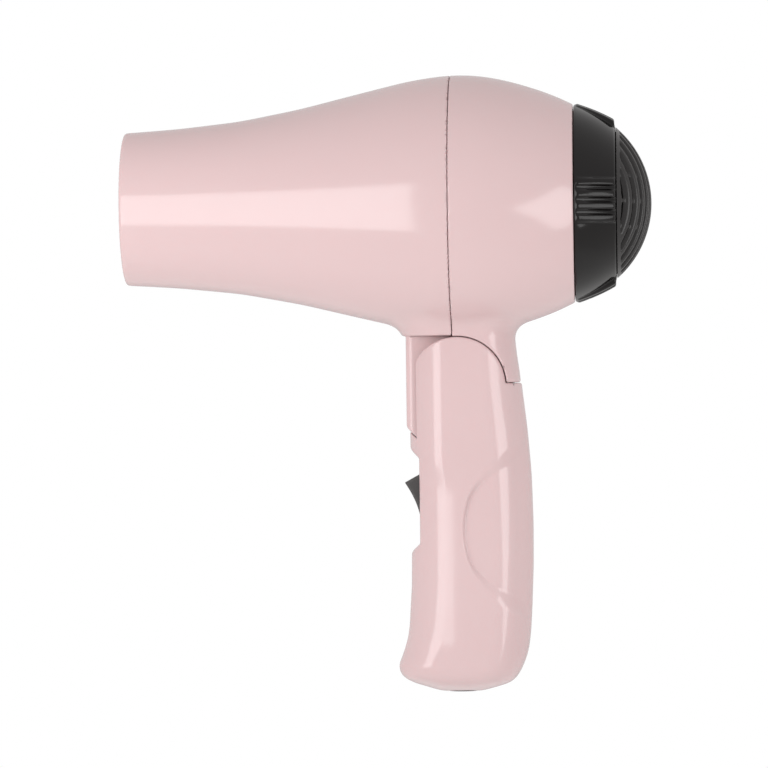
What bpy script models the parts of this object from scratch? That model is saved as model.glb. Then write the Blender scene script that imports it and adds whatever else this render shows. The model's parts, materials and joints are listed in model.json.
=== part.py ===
"""Folding travel hair dryer, as separate sub-parts. Metres, +Z up, nozzle towards -X.

The handle turns about PIVOT (an axis along Y). Heights called "drop" or "rise" are counted
from the pivot; places called "along" are counted from the pivot's vertical line along X, and
radii from the barrel's axis.
"""

import math

import bmesh
import bpy
import numpy as np
from mathutils import Matrix, Vector

# ---- Driving dimensions -------------------------------------------------------------------
PIVOT_Z = 0.0550            # pivot above the row's origin, which is the middle of the grip
BELLY_CLEARANCE = 0.0152    # barrel's underside above the pivot
WALL = 0.0018               # moulded shells of the barrel
HANDLE_WALL = 0.0022        # moulded shells of the handle
GAP = 0.0003                # air between two pieces that rest on each other
SPLIT_GAP = 0.0004          # visible line between two shells
SLIDE_GAP = 0.0005          # air round a piece that turns

RIM_ALONG = -0.0994         # front face of the nozzle
RIM_RADIUS = 0.0229
BELLY_ALONG = 0.0011        # widest place of the barrel
BELLY_RADIUS = 0.0389
SHELL_END_ALONG = 0.0351    # where the pink rear shell meets the black collar
SHELL_END_RADIUS = 0.0298
SEAM_ALONG = -0.0013        # plane between the front and the rear shell

COLLAR_LENGTH = 0.0123
COLLAR_END_RADIUS = 0.0229
COLLAR_BULGE = 0.0005
COLLAR_WALL = 0.0016
SKIRT_LENGTH = 0.0045
SKIRT_WALL = 0.0014
RIDGE_PITCH = 0.0036
RIDGE_WIDTH = 0.0010
RIDGE_HEIGHT = 0.0019
RIDGES_IN_GROUP = 4
RIDGE_GROUPS = 4
RIDGE_START = 0.0032        # from the collar's front edge

DOME_RADIUS = 0.0297        # sphere of the inlet grille
DOME_WALL = 0.0016
DOME_STEPS = 6
SPIGOT_LENGTH = 0.0030
SLAT_PITCH = 0.0036
SLAT_WIDTH = 0.0011
SLATS_EACH_SIDE = 6
BAR_HEIGHTS = (-0.0077, 0.0, 0.0077)
BAR_WIDTH = 0.0012

CHEEK_RADIUS = 0.0145       # round top of the handle
ARC_GAP = 0.0005            # dark line round the top of the handle
TONGUE_HALF = 0.0077
TONGUE_FRONT = -0.0155
TONGUE_CORNER = 0.0022
TONGUE_REACH = 0.0196       # how far the tongue's front foot is from the pivot
TONGUE_FOOT_END = 238       # degrees round the pivot where the foot's arc stops
TONGUE_ROOM = 0.0022        # free space round the tongue inside the handle
KNIT = 0.0040               # how far two shapes run into each other where they are joined
NECK_UNDERSIDE = 0.0149     # rise of the neck's lower face in front
STOP_RISE = 0.0010          # where the rear of the neck rests on the handle
NECK_HALF = 0.0145
PIN_RADIUS = 0.0025
PIN_HALF_LENGTH = 0.0113
WIRE_CHANNEL = 0.0044
WIRE_CHANNEL_TOP = 0.0300   # rise of the channel's upper end

GRIP_HALF = 0.0145          # half the handle's width
FRONT_ROUND = 0.0085        # how deep the handle's front rounding is
REAR_ROUND = 0.0090
HANDLE_DROP = 0.0918        # lowest point of the handle below the pivot
RECESS_TOP = 0.0189         # switch recess, measured down from the pivot
RECESS_BOTTOM = 0.0498
RECESS_FLOOR = -0.0117
RECESS_RAMP = 0.0027
FRONT_FACE = 0.0146         # handle's front face ahead of the pivot
REAR_SHOULDER = 0.0006      # rise of the handle behind its round top
POST_RADIUS = 0.0038
SCREW_SEAT = 0.0075         # how far across the screw heads sit
SCREW_HEAD = 0.0018
SCREW_LENGTH = 0.0140
CORD_ALONG = 0.0005
SCOOP_RADIUS = 0.0284       # front edge of the finger scoop
SCOOP_ALONG = 0.0295
SCOOP_DROP = 0.0431
SCOOP_DEPTH = 0.0011
SCOOP_SLOPE = 0.0012        # how far the scoop's edge runs in over its depth

ROCKER_ALONG = -0.0085      # rocker's pin
ROCKER_DROP = 0.0330
ROCKER_HALF = 0.0060
ROCKER_RADIUS = 0.0074
ROCKER_TIP_RADIUS = 0.0088
ROCKER_HEEL_RADIUS = 0.0070
ROCKER_TIP_TURN = 151.7     # degrees round the pin
ROCKER_HEEL_TURN = 243.0
ROCKER_DIP = (-0.0041, -0.0012)  # pulls the rocker's face in
ROCKER_BACK = 0.0020
ROCKER_BACK_HALF = 0.0050
SWITCH_POCKET = 0.0057      # back of the rocker's pocket
SWITCH_PIN_COVER = 0.0006
SWITCH_REAR = 0.0082        # back of the switch, along from the pivot
SWITCH_HALF_HEIGHT = 0.0098
SWITCH_HALF = 0.0082
ROCKER_PIN_RADIUS = 0.0010
TERMINALS = 3
TERMINAL_PITCH = 0.0060
TERMINAL_LENGTH = 0.0050
TERMINAL_HALF = 0.0020
TERMINAL_THICKNESS = 0.0008
TERMINAL_HOLE = 0.0008

CORD_HOLE_RADIUS = 0.0032
GLAND_RADIUS = 0.0043
GLAND_FLANGE_RADIUS = 0.0056
GLAND_FLANGE = 0.0012
GLAND_INSET = 0.0003
CLAMP_HALF = 0.0040
CLAMP_THICKNESS = 0.0028
LEAD_RADIUS = 0.0009
LEAD_SPREAD = 0.0015        # each lead's place beside the middle
LEAD_ALONG = 0.0150         # where the leads run behind the switch

DUCT_RADIUS = 0.0300
DUCT_WALL = 0.0014
DUCT_FRONT = -0.0030
DUCT_REAR = 0.0295
FLANGE_WIDTH = 0.0018
MOTOR_RADIUS = 0.0125
MOTOR_LENGTH = 0.0250
MOTOR_REAR = 0.0110
CUP_WALL = 0.0012
STATOR_VANES = 5
STATOR_VANE_WIDTH = 0.0012
MOTOR_LIP = 0.0008
BOSS_RADIUS = 0.0040
BOSS_LENGTH = 0.0016
CUP_SHORT = 0.0020          # motor's end that stands out of its cup
SHAFT_RADIUS = 0.0010
HUB_RADIUS = 0.0085
HUB_LENGTH = 0.0120
BLADES = 7
BLADE_WIDTH = 0.0011
BLADE_TILT = 38.0
BLADE_INSET = 0.0010

BOARD_THICKNESS = 0.0012    # rectifier board
BOARD_BORE = 0.0052
DIODES = 4
DIODE_CIRCLE = 0.0086
DIODE_RADIUS = 0.0014
DIODE_LENGTH = 0.0048
DIODE_LEAD = 0.0004
DIODE_LEAD_LENGTH = 0.0009
CAPACITOR_HALF = 0.0022
CAPACITOR_LENGTH = 0.0060
CAPACITOR_LOW = 0.0110
CAPACITOR_HIGH = 0.0080

HEATER_REAR = -0.0300
HEATER_DEPTH = 0.0124       # front of the heater behind the rim
HEATER_CLEARANCE = 0.0008   # between the nozzle and the heater tube
MICA = 0.0006
BOARD_INSET = 0.0055        # edge of the boards inside the heater tube
COIL_INSET = 0.0039
COIL_WIRE = 0.00045
COIL_TURNS = 7
BOARD_FRONT_INSET = 0.0040  # boards behind the heater tube's front
BOARD_REAR_INSET = 0.0020
COIL_FRONT_INSET = 0.0040   # coil behind the boards' front
COIL_REAR_INSET = 0.0120
THERMOSTAT_LOW = 0.0040     # across from the middle
THERMOSTAT_HIGH = 0.0120
THERMOSTAT_LENGTH = 0.0080
THERMOSTAT_HEIGHT = 0.0018
THERMOSTAT_CAP = 0.0012
THERMOSTAT_CAP_RADIUS = 0.0030
FUSE_ACROSS = 0.0070
FUSE_RADIUS = 0.0014
FUSE_LENGTH = 0.0060
FUSE_LEAD = 0.0004
FUSE_LEAD_LENGTH = 0.0015
SAFETY_INSET = 0.0020       # both safety devices ahead of the boards' rear
OUTLET_DEPTH = 0.0088       # outlet grille behind the rim
OUTLET_THICKNESS = 0.0016
OUTLET_BAR = 0.0012
OUTLET_RIM = 0.0014
OUTLET_RINGS = (0.35, 0.68)  # shares of the grille's radius

FILTER_THICKNESS = 0.0008
FILTER_RING = 0.0016
FILTER_BARS = 4
FOAM_THICKNESS = 0.0010     # dust foam under the dome
FOAM_GAP = 0.0004
SCREW_HEAD_RADIUS = 0.0026
SCREW_RADIUS = 0.0013
MIDDLE_SCREW = (-0.0045, 0.0555)    # along, and drop below the pivot
FOOT_SCREWS = (0.0130, -0.0075)     # along
FOOT_SCREW_HEIGHT = 0.0153          # above the lowest point of the handle
CLAMP_LOW = 0.0103                  # above the lowest point of the handle
CLAMP_HIGH = 0.0173

# Shape of the turned outline: how far along a stretch, and how much of the radius change is done.
NOZZLE_SHAPE = ((0.0, 0.0), (0.05, 0.018), (0.164, 0.066), (0.344, 0.187), (0.523, 0.399),
                (0.702, 0.673), (0.85, 0.893), (0.94, 0.978), (1.0, 1.0))
REAR_SHAPE = ((0.0, 1.0), (0.176, 0.967), (0.353, 0.857), (0.529, 0.685), (0.706, 0.475),
              (0.882, 0.222), (1.0, 0.0))
# Handle outline: drop below the pivot, front and rear edge, and how much of the half width.
HANDLE_UPPER_SHAPE = (
    (-0.0160, -FRONT_FACE, 0.0180, 1.0), (0.0000, -FRONT_FACE, 0.0190, 1.0),
    (0.0130, -FRONT_FACE, 0.0205, 1.0), (0.0330, -0.0145, 0.0218, 1.0),
    (0.0500, -0.0145, 0.0220, 1.0),
)
# The same for its foot, by height above the lowest point.
HANDLE_FOOT_SHAPE = (
    (0.0252, -0.0152, 0.0215, 1.0), (0.0162, -0.0162, 0.0206, 1.0),
    (0.0118, -0.0174, 0.0199, 0.99), (0.0073, -0.0190, 0.0181, 0.96),
    (0.0048, -0.0180, 0.0161, 0.90), (0.0026, -0.0142, 0.0136, 0.78),
    (0.0009, -0.0085, 0.0100, 0.58), (0.0, -0.0040, 0.0050, 0.38),
)
# Flare between barrel and neck by rise above the pivot: front, rear, half width added.
NECK_SHAPE = (
    (-0.0020, -0.0158, 0.0188, 0.0), (0.0085, -0.0159, 0.0178, 0.0),
    (0.0149, -0.0162, 0.0171, 0.0), (0.0163, -0.0172, 0.0177, 0.0005),
    (0.0181, -0.0215, 0.0200, 0.0020), (0.0200, -0.0285, 0.0250, 0.0045),
    (0.0218, -0.0330, 0.0290, 0.0070),
)

SHELL_STEPS = 40
OVERRUN = 0.0001            # cutter past a face that it must break through
OUTLINE_STEPS = 21
ROUND_STEPS = 24
SMALL_STEPS = 12
SPARE = 0.0600              # how far a cutter runs past what it cuts
SHORTEST = 0.0008           # closest that two rings of an outline come

BARREL_RISE = BELLY_RADIUS + BELLY_CLEARANCE
BARREL_Z = PIVOT_Z + BARREL_RISE
HANDLE_SHAPE = HANDLE_UPPER_SHAPE + tuple((HANDLE_DROP - row[0], *row[1:]) for row in HANDLE_FOOT_SHAPE)
HANDLE_SCREWS = (MIDDLE_SCREW, *((along, HANDLE_DROP - FOOT_SCREW_HEIGHT) for along in FOOT_SCREWS))
HEATER_FRONT = RIM_ALONG + HEATER_DEPTH
HEATER_TUBE_RADIUS = RIM_RADIUS - WALL - HEATER_CLEARANCE
BOARD_HALF = HEATER_TUBE_RADIUS - BOARD_INSET
COIL_RADIUS = HEATER_TUBE_RADIUS - COIL_INSET
ORIGIN = Vector((0.0, 0.0, 0.0))
PIVOT = Vector((0.0, 0.0, PIVOT_Z))
BARREL = Vector((0.0, 0.0, BARREL_Z))
ROCKER_PIN = Vector((ROCKER_ALONG, 0.0, PIVOT_Z - ROCKER_DROP))
COLLAR_FRONT = SHELL_END_ALONG + SPLIT_GAP
COLLAR_REAR = COLLAR_FRONT + COLLAR_LENGTH
SKIRT_RADIUS = SHELL_END_RADIUS - WALL - SLIDE_GAP
DOME_RIM_RADIUS = COLLAR_END_RADIUS - GAP
SPIGOT_RADIUS = COLLAR_END_RADIUS - COLLAR_WALL - GAP
DOME_FRONT = COLLAR_REAR + GAP
DOME_CENTRE = DOME_FRONT - math.sqrt(DOME_RADIUS**2 - DOME_RIM_RADIUS**2)
FAN_REAR = DUCT_REAR - 0.0015
FAN_FRONT = FAN_REAR - HUB_LENGTH
BLADE_REACH = DUCT_RADIUS - DUCT_WALL - SLIDE_GAP


# ---- Materials ----------------------------------------------------------------------------
def material(name, colour, roughness, metallic=0.0):
    made = bpy.data.materials.new(name)
    made.use_nodes = True
    shader = made.node_tree.nodes["Principled BSDF"]
    shader.inputs["Base Color"].default_value = (*colour, 1.0)
    shader.inputs["Roughness"].default_value = roughness
    shader.inputs["Metallic"].default_value = metallic
    made.diffuse_color = (*colour, 1.0)
    return made


# ---- Shape helpers ------------------------------------------------------------------------
def node_from(name, built, finish, place=ORIGIN):
    """Makes the object of a bmesh whose points are in world metres, with its origin at place."""
    bmesh.ops.recalc_face_normals(built, faces=built.faces)
    built.transform(Matrix.Translation(-place))
    mesh = bpy.data.meshes.new(name)
    built.to_mesh(mesh)
    built.free()
    if finish is not None:
        mesh.materials.append(finish)
    made = bpy.data.objects.new(name, mesh)
    made.location = place
    bpy.context.scene.collection.objects.link(made)
    bpy.context.view_layer.update()
    return made


def combine(target, other, operation):
    """Applies a Boolean of target with other, and removes other."""
    modifier = target.modifiers.new(operation.title(), "BOOLEAN")
    modifier.object = other
    modifier.operation = operation
    modifier.solver = "EXACT"
    bpy.context.view_layer.update()
    graph = bpy.context.evaluated_depsgraph_get()
    result = bpy.data.meshes.new_from_object(target.evaluated_get(graph))
    target.modifiers.clear()
    before = target.data
    target.data = result
    bpy.data.meshes.remove(before)
    bpy.data.objects.remove(other)
    return target


def cut(target, *cutters):
    for cutter in cutters:
        combine(target, cutter, "DIFFERENCE")
    return target


def add(target, *others):
    for other in others:
        combine(target, other, "UNION")
    return target


def keep(target, region):
    return combine(target, region, "INTERSECT")


def curve_through(points, at):
    """Smooth values at the places in at, through (place, value) points, with no overshoot."""
    places, values = np.array(points, float).T
    steps = np.diff(values) / np.diff(places)
    slopes = np.concatenate([[steps[0]], (steps[1:] + steps[:-1]) / 2, [steps[-1]]])
    turning = np.concatenate([[False], steps[1:] * steps[:-1] <= 0, [False]])
    slopes[turning] = 0.0
    index = np.clip(np.searchsorted(places, at, side="right") - 1, 0, len(steps) - 1)
    span = np.diff(places)[index]
    part = (np.asarray(at) - places[index]) / span
    first = (1 + 2 * part) * (1 - part) ** 2 * values[index]
    second = part**2 * (3 - 2 * part) * values[index + 1]
    bend = part * (1 - part) ** 2 * slopes[index] - part**2 * (1 - part) * slopes[index + 1]
    return first + second + bend * span


def turned(name, profile, finish=None, steps=SHELL_STEPS, centre=BARREL):
    """Turns a closed (along, radius) outline about an axis along X through centre."""
    built = bmesh.new()
    points = [built.verts.new(centre + Vector((along, 0.0, radius))) for along, radius in profile]
    edges = [built.edges.new((a, b)) for a, b in zip(points, points[1:] + points[:1])]
    bmesh.ops.spin(built, geom=points + edges, cent=centre, axis=(1, 0, 0),
                   angle=2 * math.pi, steps=steps, use_merge=True)
    bmesh.ops.remove_doubles(built, verts=built.verts, dist=1e-6)
    loose = [edge for edge in built.edges if not edge.link_faces]
    bmesh.ops.delete(built, geom=loose, context="EDGES")
    return node_from(name, built, finish)


def tube(name, start, end, outer, inner, finish=None, steps=ROUND_STEPS, centre=BARREL):
    """A tube along X."""
    profile = [(start, inner), (start, outer), (end, outer), (end, inner)]
    return turned(name, profile, finish, steps, centre)


def rod(name, start, end, radius, finish=None, steps=ROUND_STEPS):
    """A round bar between two points."""
    start, end = Vector(start), Vector(end)
    built = bmesh.new()
    turn = (end - start).to_track_quat("Z", "Y").to_matrix().to_4x4()
    bmesh.ops.create_cone(built, cap_ends=True, segments=steps, radius1=radius, radius2=radius,
                          depth=(end - start).length,
                          matrix=Matrix.Translation((start + end) / 2) @ turn)
    return node_from(name, built, finish)


def block(name, low, high, finish=None):
    low, high = Vector(low), Vector(high)
    built = bmesh.new()
    size = Matrix.Diagonal((*(high - low), 1.0))
    bmesh.ops.create_cube(built, size=1.0, matrix=Matrix.Translation((low + high) / 2) @ size)
    return node_from(name, built, finish)


def prism(name, outline, half, finish=None, place=PIVOT, middle=0.0):
    """Extrudes an (along, rise) outline about place from middle - half to middle + half in Y."""
    built = bmesh.new()
    points = [built.verts.new(place + Vector((x, middle - half, z))) for x, z in outline]
    face = built.faces.new(points)
    moved = bmesh.ops.extrude_face_region(built, geom=[face])["geom"]
    moved = [item for item in moved if isinstance(item, bmesh.types.BMVert)]
    bmesh.ops.translate(built, verts=moved, vec=(0.0, 2 * half, 0.0))
    return node_from(name, built, finish)


def loft(name, rings, finish=None):
    """A closed skin over rings of equal point count."""
    built = bmesh.new()
    rows = [[built.verts.new(point) for point in ring] for ring in rings]
    for low, high in zip(rows, rows[1:]):
        for i in range(len(low)):
            j = (i + 1) % len(low)
            built.faces.new((low[i], low[j], high[j], high[i]))
    built.faces.new(rows[0])
    built.faces.new(rows[-1])
    return node_from(name, built, finish)


def arc(radius, start, end, steps, centre=(0.0, 0.0)):
    """Points on a circle in the XZ plane, by degrees from +X towards +Z."""
    turns = np.radians(np.linspace(start, end, steps + 1))
    return [(centre[0] + radius * math.cos(t), centre[1] + radius * math.sin(t)) for t in turns]


def oval_ring(front, rear, half, height, steps=8):
    """One level of the handle or neck: flat sides, and elliptic front and rear."""
    points = []
    front_depth = min(FRONT_ROUND, (rear - front) / 2.2)
    rear_depth = min(REAR_ROUND, (rear - front) / 2.2)
    for i in range(steps + 1):
        t = math.pi * (0.5 + i / steps)
        points.append((front + front_depth * (1 + math.cos(t)), half * math.sin(t), height))
    for i in range(steps + 1):
        t = math.pi * (i / steps - 0.5)
        points.append((rear - rear_depth * (1 - math.cos(t)), half * math.sin(t), height))
    return points


def handle_rings(inset, top, bottom, levels):
    """Levels of the handle's loft, drawn in by inset, between two drops below the pivot."""
    table = np.array(HANDLE_SHAPE)
    drops = np.concatenate([table[:, 0], np.linspace(top, bottom, levels)])
    drops = np.unique(np.round(drops[(drops >= top) & (drops <= bottom)], 7))
    front = curve_through(table[:, [0, 1]], drops)
    rear = curve_through(table[:, [0, 2]], drops)
    share = curve_through(table[:, [0, 3]], drops)
    return [oval_ring(f + inset, r - inset, GRIP_HALF * s - inset, PIVOT_Z - d)
            for d, f, r, s in zip(drops, front, rear, share)]


def barrel_outline(inset, start, end):
    """Outer (along, radius) points of the barrel, drawn in by inset."""
    nozzle = [(RIM_ALONG + u * (BELLY_ALONG - RIM_ALONG), v) for u, v in NOZZLE_SHAPE]
    rear = [(BELLY_ALONG + u * (SHELL_END_ALONG - BELLY_ALONG), v) for u, v in REAR_SHAPE]
    places = np.linspace(RIM_ALONG, SHELL_END_ALONG, OUTLINE_STEPS)
    inner = places[(places > start + SHORTEST) & (places < end - SHORTEST)]
    places = np.concatenate([[start], inner, [end]])
    share_front = curve_through(nozzle, places)
    share_rear = curve_through(rear, places)
    front = RIM_RADIUS + (BELLY_RADIUS - RIM_RADIUS) * share_front
    back = SHELL_END_RADIUS + (BELLY_RADIUS - SHELL_END_RADIUS) * share_rear
    radius = np.where(places < BELLY_ALONG, front, back) - inset
    return list(zip(places.tolist(), radius.tolist()))


def solid_of_revolution(name, outline, steps=SHELL_STEPS):
    """A solid turned from an outer outline, with flat ends."""
    built = bmesh.new()
    rings = []
    for along, radius in outline:
        ring = []
        for i in range(steps):
            t = 2 * math.pi * i / steps
            offset = Vector((along, radius * math.sin(t), radius * math.cos(t)))
            ring.append(built.verts.new(BARREL + offset))
        rings.append(ring)
    for low, high in zip(rings, rings[1:]):
        for i in range(steps):
            j = (i + 1) % steps
            built.faces.new((low[i], low[j], high[j], high[i]))
    built.faces.new(rings[0])
    built.faces.new(rings[-1])
    return node_from(name, built, None)


# ---- Housing shells -----------------------------------------------------------------------
def barrel_solid(name, inset, start, end):
    return solid_of_revolution(name, barrel_outline(inset, start, end))


def barrel_hollow(name, start, end):
    """The barrel's inside, run past its open ends."""
    outline = barrel_outline(WALL, max(start, RIM_ALONG), min(end, SHELL_END_ALONG))
    if start <= RIM_ALONG:
        outline = [(RIM_ALONG - SPARE, outline[0][1])] + outline
    if end >= SHELL_END_ALONG:
        outline = outline + [(SHELL_END_ALONG + SPARE, outline[-1][1])]
    return solid_of_revolution(name, outline)


def neck_solid(name, lowest):
    """The neck from a rise above the pivot up into the barrel."""
    table = np.array(NECK_SHAPE)
    rises = np.unique(np.concatenate([[lowest], table[table[:, 0] > lowest, 0]]))
    front = curve_through(table[:, [0, 1]], rises)
    rear = curve_through(table[:, [0, 2]], rises)
    wide = curve_through(table[:, [0, 3]], rises)
    rings = [oval_ring(f, r, NECK_HALF + w, PIVOT_Z + z, 12)
             for z, f, r, w in zip(rises, front, rear, wide)]
    return loft(name, rings)


def slab(name, along_low, along_high, rise_low, rise_high, half=SPARE):
    """A box counted from the pivot."""
    return block(name, (along_low, -half, PIVOT_Z + rise_low), (along_high, half, PIVOT_Z + rise_high))


def tongue_solid():
    """The knuckle between the handle's cheeks, with a straight front and a round rear."""
    foot = math.acos(-TONGUE_FRONT / TONGUE_REACH)
    outline = [(TONGUE_FRONT, NECK_UNDERSIDE + KNIT)]
    outline += arc(TONGUE_REACH, 180 + math.degrees(foot), TONGUE_FOOT_END, 5)
    outline += arc(CHEEK_RADIUS, 250, 450, 20)
    outline += [(SEAM_ALONG - SPLIT_GAP, CHEEK_RADIUS), (SEAM_ALONG - SPLIT_GAP, NECK_UNDERSIDE + KNIT)]
    body = prism("tongue", outline, TONGUE_HALF)
    for side in (-1, 1):
        corner = (TONGUE_FRONT, side * TONGUE_HALF)
        body = cut(body, rounding_cutter(corner, side))
    return body


def rounding_cutter(corner, side):
    """What a rounded upright edge takes away, from a point in plan."""
    centre = (corner[0] + TONGUE_CORNER, corner[1] - side * TONGUE_CORNER)
    outside = corner[1] + side * TONGUE_CORNER / 2
    outline = [(corner[0] - TONGUE_CORNER / 2, outside), (centre[0], outside)]
    turns = np.radians(np.linspace(90, 180, 5))
    outline += [(centre[0] + TONGUE_CORNER * math.cos(t), centre[1] + side * TONGUE_CORNER * math.sin(t))
                for t in turns]
    outline += [(corner[0] - TONGUE_CORNER / 2, centre[1])]
    rings = [[(x, y, PIVOT_Z + rise) for x, y in outline] for rise in (-SPARE, NECK_UNDERSIDE)]
    return loft("rounding", rings)


def build_front_shell(pink):
    end = SEAM_ALONG - SPLIT_GAP / 2
    shell = barrel_solid("front_shell", 0.0, RIM_ALONG, end)
    neck = neck_solid("neck", NECK_UNDERSIDE)
    cut(neck, slab("behind", end, SPARE, -SPARE, SPARE))
    add(shell, neck, tongue_solid())
    cut(shell, barrel_hollow("hollow", RIM_ALONG, end + OVERRUN))
    channel_front = TONGUE_FRONT + HANDLE_WALL
    channel = block("channel", (channel_front, -WIRE_CHANNEL / 2, PIVOT_Z - SPARE),
                    (channel_front + WIRE_CHANNEL, WIRE_CHANNEL / 2, PIVOT_Z + WIRE_CHANNEL_TOP))
    bore = rod("bore", (0, -SPARE, PIVOT_Z), (0, SPARE, PIVOT_Z), PIN_RADIUS + GAP)
    cut(shell, channel, bore)
    shell.data.materials.append(pink)
    return shell


def build_rear_shell(pink):
    start = SEAM_ALONG + SPLIT_GAP / 2
    shell = barrel_solid("rear_shell", 0.0, start, SHELL_END_ALONG)
    neck = neck_solid("neck", STOP_RISE)
    cut(neck, slab("ahead", -SPARE, start, -SPARE, SPARE))
    clear = rod("clear", (0, -SPARE, PIVOT_Z), (0, SPARE, PIVOT_Z), CHEEK_RADIUS + ARC_GAP, steps=64)
    cut(neck, clear)
    add(shell, neck)
    cut(shell, barrel_hollow("hollow", start - OVERRUN, SHELL_END_ALONG))
    shell.data.materials.append(pink)
    return shell


# ---- Rear cap -----------------------------------------------------------------------------
def build_rear_collar(black):
    """Collar with a skirt that turns inside the rear shell, and raised finger ridges."""
    middle = (COLLAR_FRONT + COLLAR_REAR) / 2
    wide = (SHELL_END_RADIUS + COLLAR_END_RADIUS) / 2 + COLLAR_BULGE
    outline = [
        (COLLAR_FRONT, SHELL_END_RADIUS), (middle, wide), (COLLAR_REAR, COLLAR_END_RADIUS),
        (COLLAR_REAR, COLLAR_END_RADIUS - COLLAR_WALL), (middle, wide - COLLAR_WALL),
        (COLLAR_FRONT, SKIRT_RADIUS - SKIRT_WALL), (COLLAR_FRONT - SKIRT_LENGTH, SKIRT_RADIUS - SKIRT_WALL),
        (COLLAR_FRONT - SKIRT_LENGTH, SKIRT_RADIUS), (COLLAR_FRONT, SKIRT_RADIUS),
    ]
    collar = turned("rear_collar", outline)
    slope = (SHELL_END_RADIUS - COLLAR_END_RADIUS) / COLLAR_LENGTH
    start = COLLAR_FRONT + RIDGE_START
    low = SHELL_END_RADIUS - slope * RIDGE_START - COLLAR_WALL / 2
    end_low = COLLAR_END_RADIUS - COLLAR_WALL / 2
    rear = COLLAR_REAR - GAP
    ridge = [(start, low), (rear, end_low), (rear, COLLAR_END_RADIUS + RIDGE_HEIGHT),
             (start, low + COLLAR_WALL / 2 + COLLAR_BULGE)]
    for group in range(RIDGE_GROUPS):
        for i in range(RIDGES_IN_GROUP):
            across = (i - (RIDGES_IN_GROUP - 1) / 2) * RIDGE_PITCH
            piece = prism("ridge", ridge, RIDGE_WIDTH / 2, place=ORIGIN, middle=across)
            piece.data.transform(Matrix.Translation(BARREL) @ Matrix.Rotation(math.pi / 2 * group, 4, "X"))
            add(collar, piece)
    collar.data.materials.append(black)
    return collar


def dome_points(radius, rim):
    """Points of the dome's section, from its rim to its middle."""
    last = math.degrees(math.asin(rim / radius))
    turns = np.radians(np.linspace(last, 0.0, DOME_STEPS))
    return [(DOME_CENTRE + radius * math.cos(t), radius * math.sin(t)) for t in turns]


def slot_cutters():
    """One box for each gap between two slats and two bars."""
    slots = bmesh.new()
    inside = SPIGOT_RADIUS - DOME_WALL
    bars = [-inside, *BAR_HEIGHTS, inside]
    for slot in range(-SLATS_EACH_SIDE, SLATS_EACH_SIDE):
        low = slot * SLAT_PITCH + SLAT_WIDTH / 2
        high = (slot + 1) * SLAT_PITCH - SLAT_WIDTH / 2
        reach = math.sqrt(max(0.0, inside**2 - max(abs(low), abs(high)) ** 2))
        for under, over in zip(bars, bars[1:]):
            bottom = max(under + BAR_WIDTH / 2, -reach)
            top = min(over - BAR_WIDTH / 2, reach)
            if top - bottom < SLAT_PITCH / 2:
                continue
            size = Matrix.Diagonal((SPARE, high - low, top - bottom, 1.0))
            middle = Vector((COLLAR_REAR + SPARE / 2, (low + high) / 2, (top + bottom) / 2))
            bmesh.ops.create_cube(slots, size=1.0, matrix=Matrix.Translation(BARREL + middle) @ size)
    return node_from("slots", slots, None)


def build_inlet_grille(black):
    """Domed grille with upright slats, from a dome with slots cut through it."""
    outer = dome_points(DOME_RADIUS, DOME_RIM_RADIUS)
    inner = dome_points(DOME_RADIUS - DOME_WALL, SPIGOT_RADIUS - DOME_WALL)[::-1]
    spigot_front = COLLAR_REAR - SPIGOT_LENGTH
    spigot = [(spigot_front, SPIGOT_RADIUS - DOME_WALL), (spigot_front, SPIGOT_RADIUS),
              (DOME_FRONT, SPIGOT_RADIUS)]
    grille = turned("inlet_grille", outer + inner + spigot, steps=32)
    cut(grille, slot_cutters())
    grille.data.materials.append(black)
    return grille


def build_lint_filter(mesh_grey):
    """Fine screen held inside the collar, drawn as a thin cross-barred disc."""
    rear = COLLAR_FRONT + GAP
    radius = SKIRT_RADIUS - SKIRT_WALL - GAP
    ring = tube("lint_filter", rear - FILTER_THICKNESS * 3, rear, radius, radius - FILTER_RING, steps=40)
    reach = radius - FILTER_RING / 2
    for turn in range(FILTER_BARS):
        bar = block("bar", (rear - FILTER_THICKNESS, -reach, -FILTER_THICKNESS / 2),
                    (rear, reach, FILTER_THICKNESS / 2))
        bar.data.transform(Matrix.Translation(BARREL)
                           @ Matrix.Rotation(math.pi / FILTER_BARS * turn, 4, "X"))
        add(ring, bar)
    ring.data.materials.append(mesh_grey)
    return ring


def build_dust_foam(black):
    """Thin dome of open foam under the slats, which hides what is inside."""
    outer = DOME_RADIUS - DOME_WALL - FOAM_GAP
    rim = SPIGOT_RADIUS - DOME_WALL - FOAM_GAP
    outline = dome_points(outer, rim) + dome_points(outer - FOAM_THICKNESS, rim)[::-1]
    return turned("dust_foam", outline, black, 32)


# ---- Fan and motor ------------------------------------------------------------------------
def radial_plate(name, inner, outer, front, rear, width, turn, tilt=0.0):
    """A flat vane between two radii, tilted about its own radial line."""
    middle = (front + rear) / 2
    plate = block(name, (-(rear - front) / 2, -width / 2, inner), ((rear - front) / 2, width / 2, outer))
    place = Matrix.Translation(BARREL + Vector((middle, 0, 0))) @ Matrix.Rotation(turn, 4, "X")
    plate.data.transform(place @ Matrix.Rotation(math.radians(tilt), 4, "Z"))
    return plate


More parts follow.
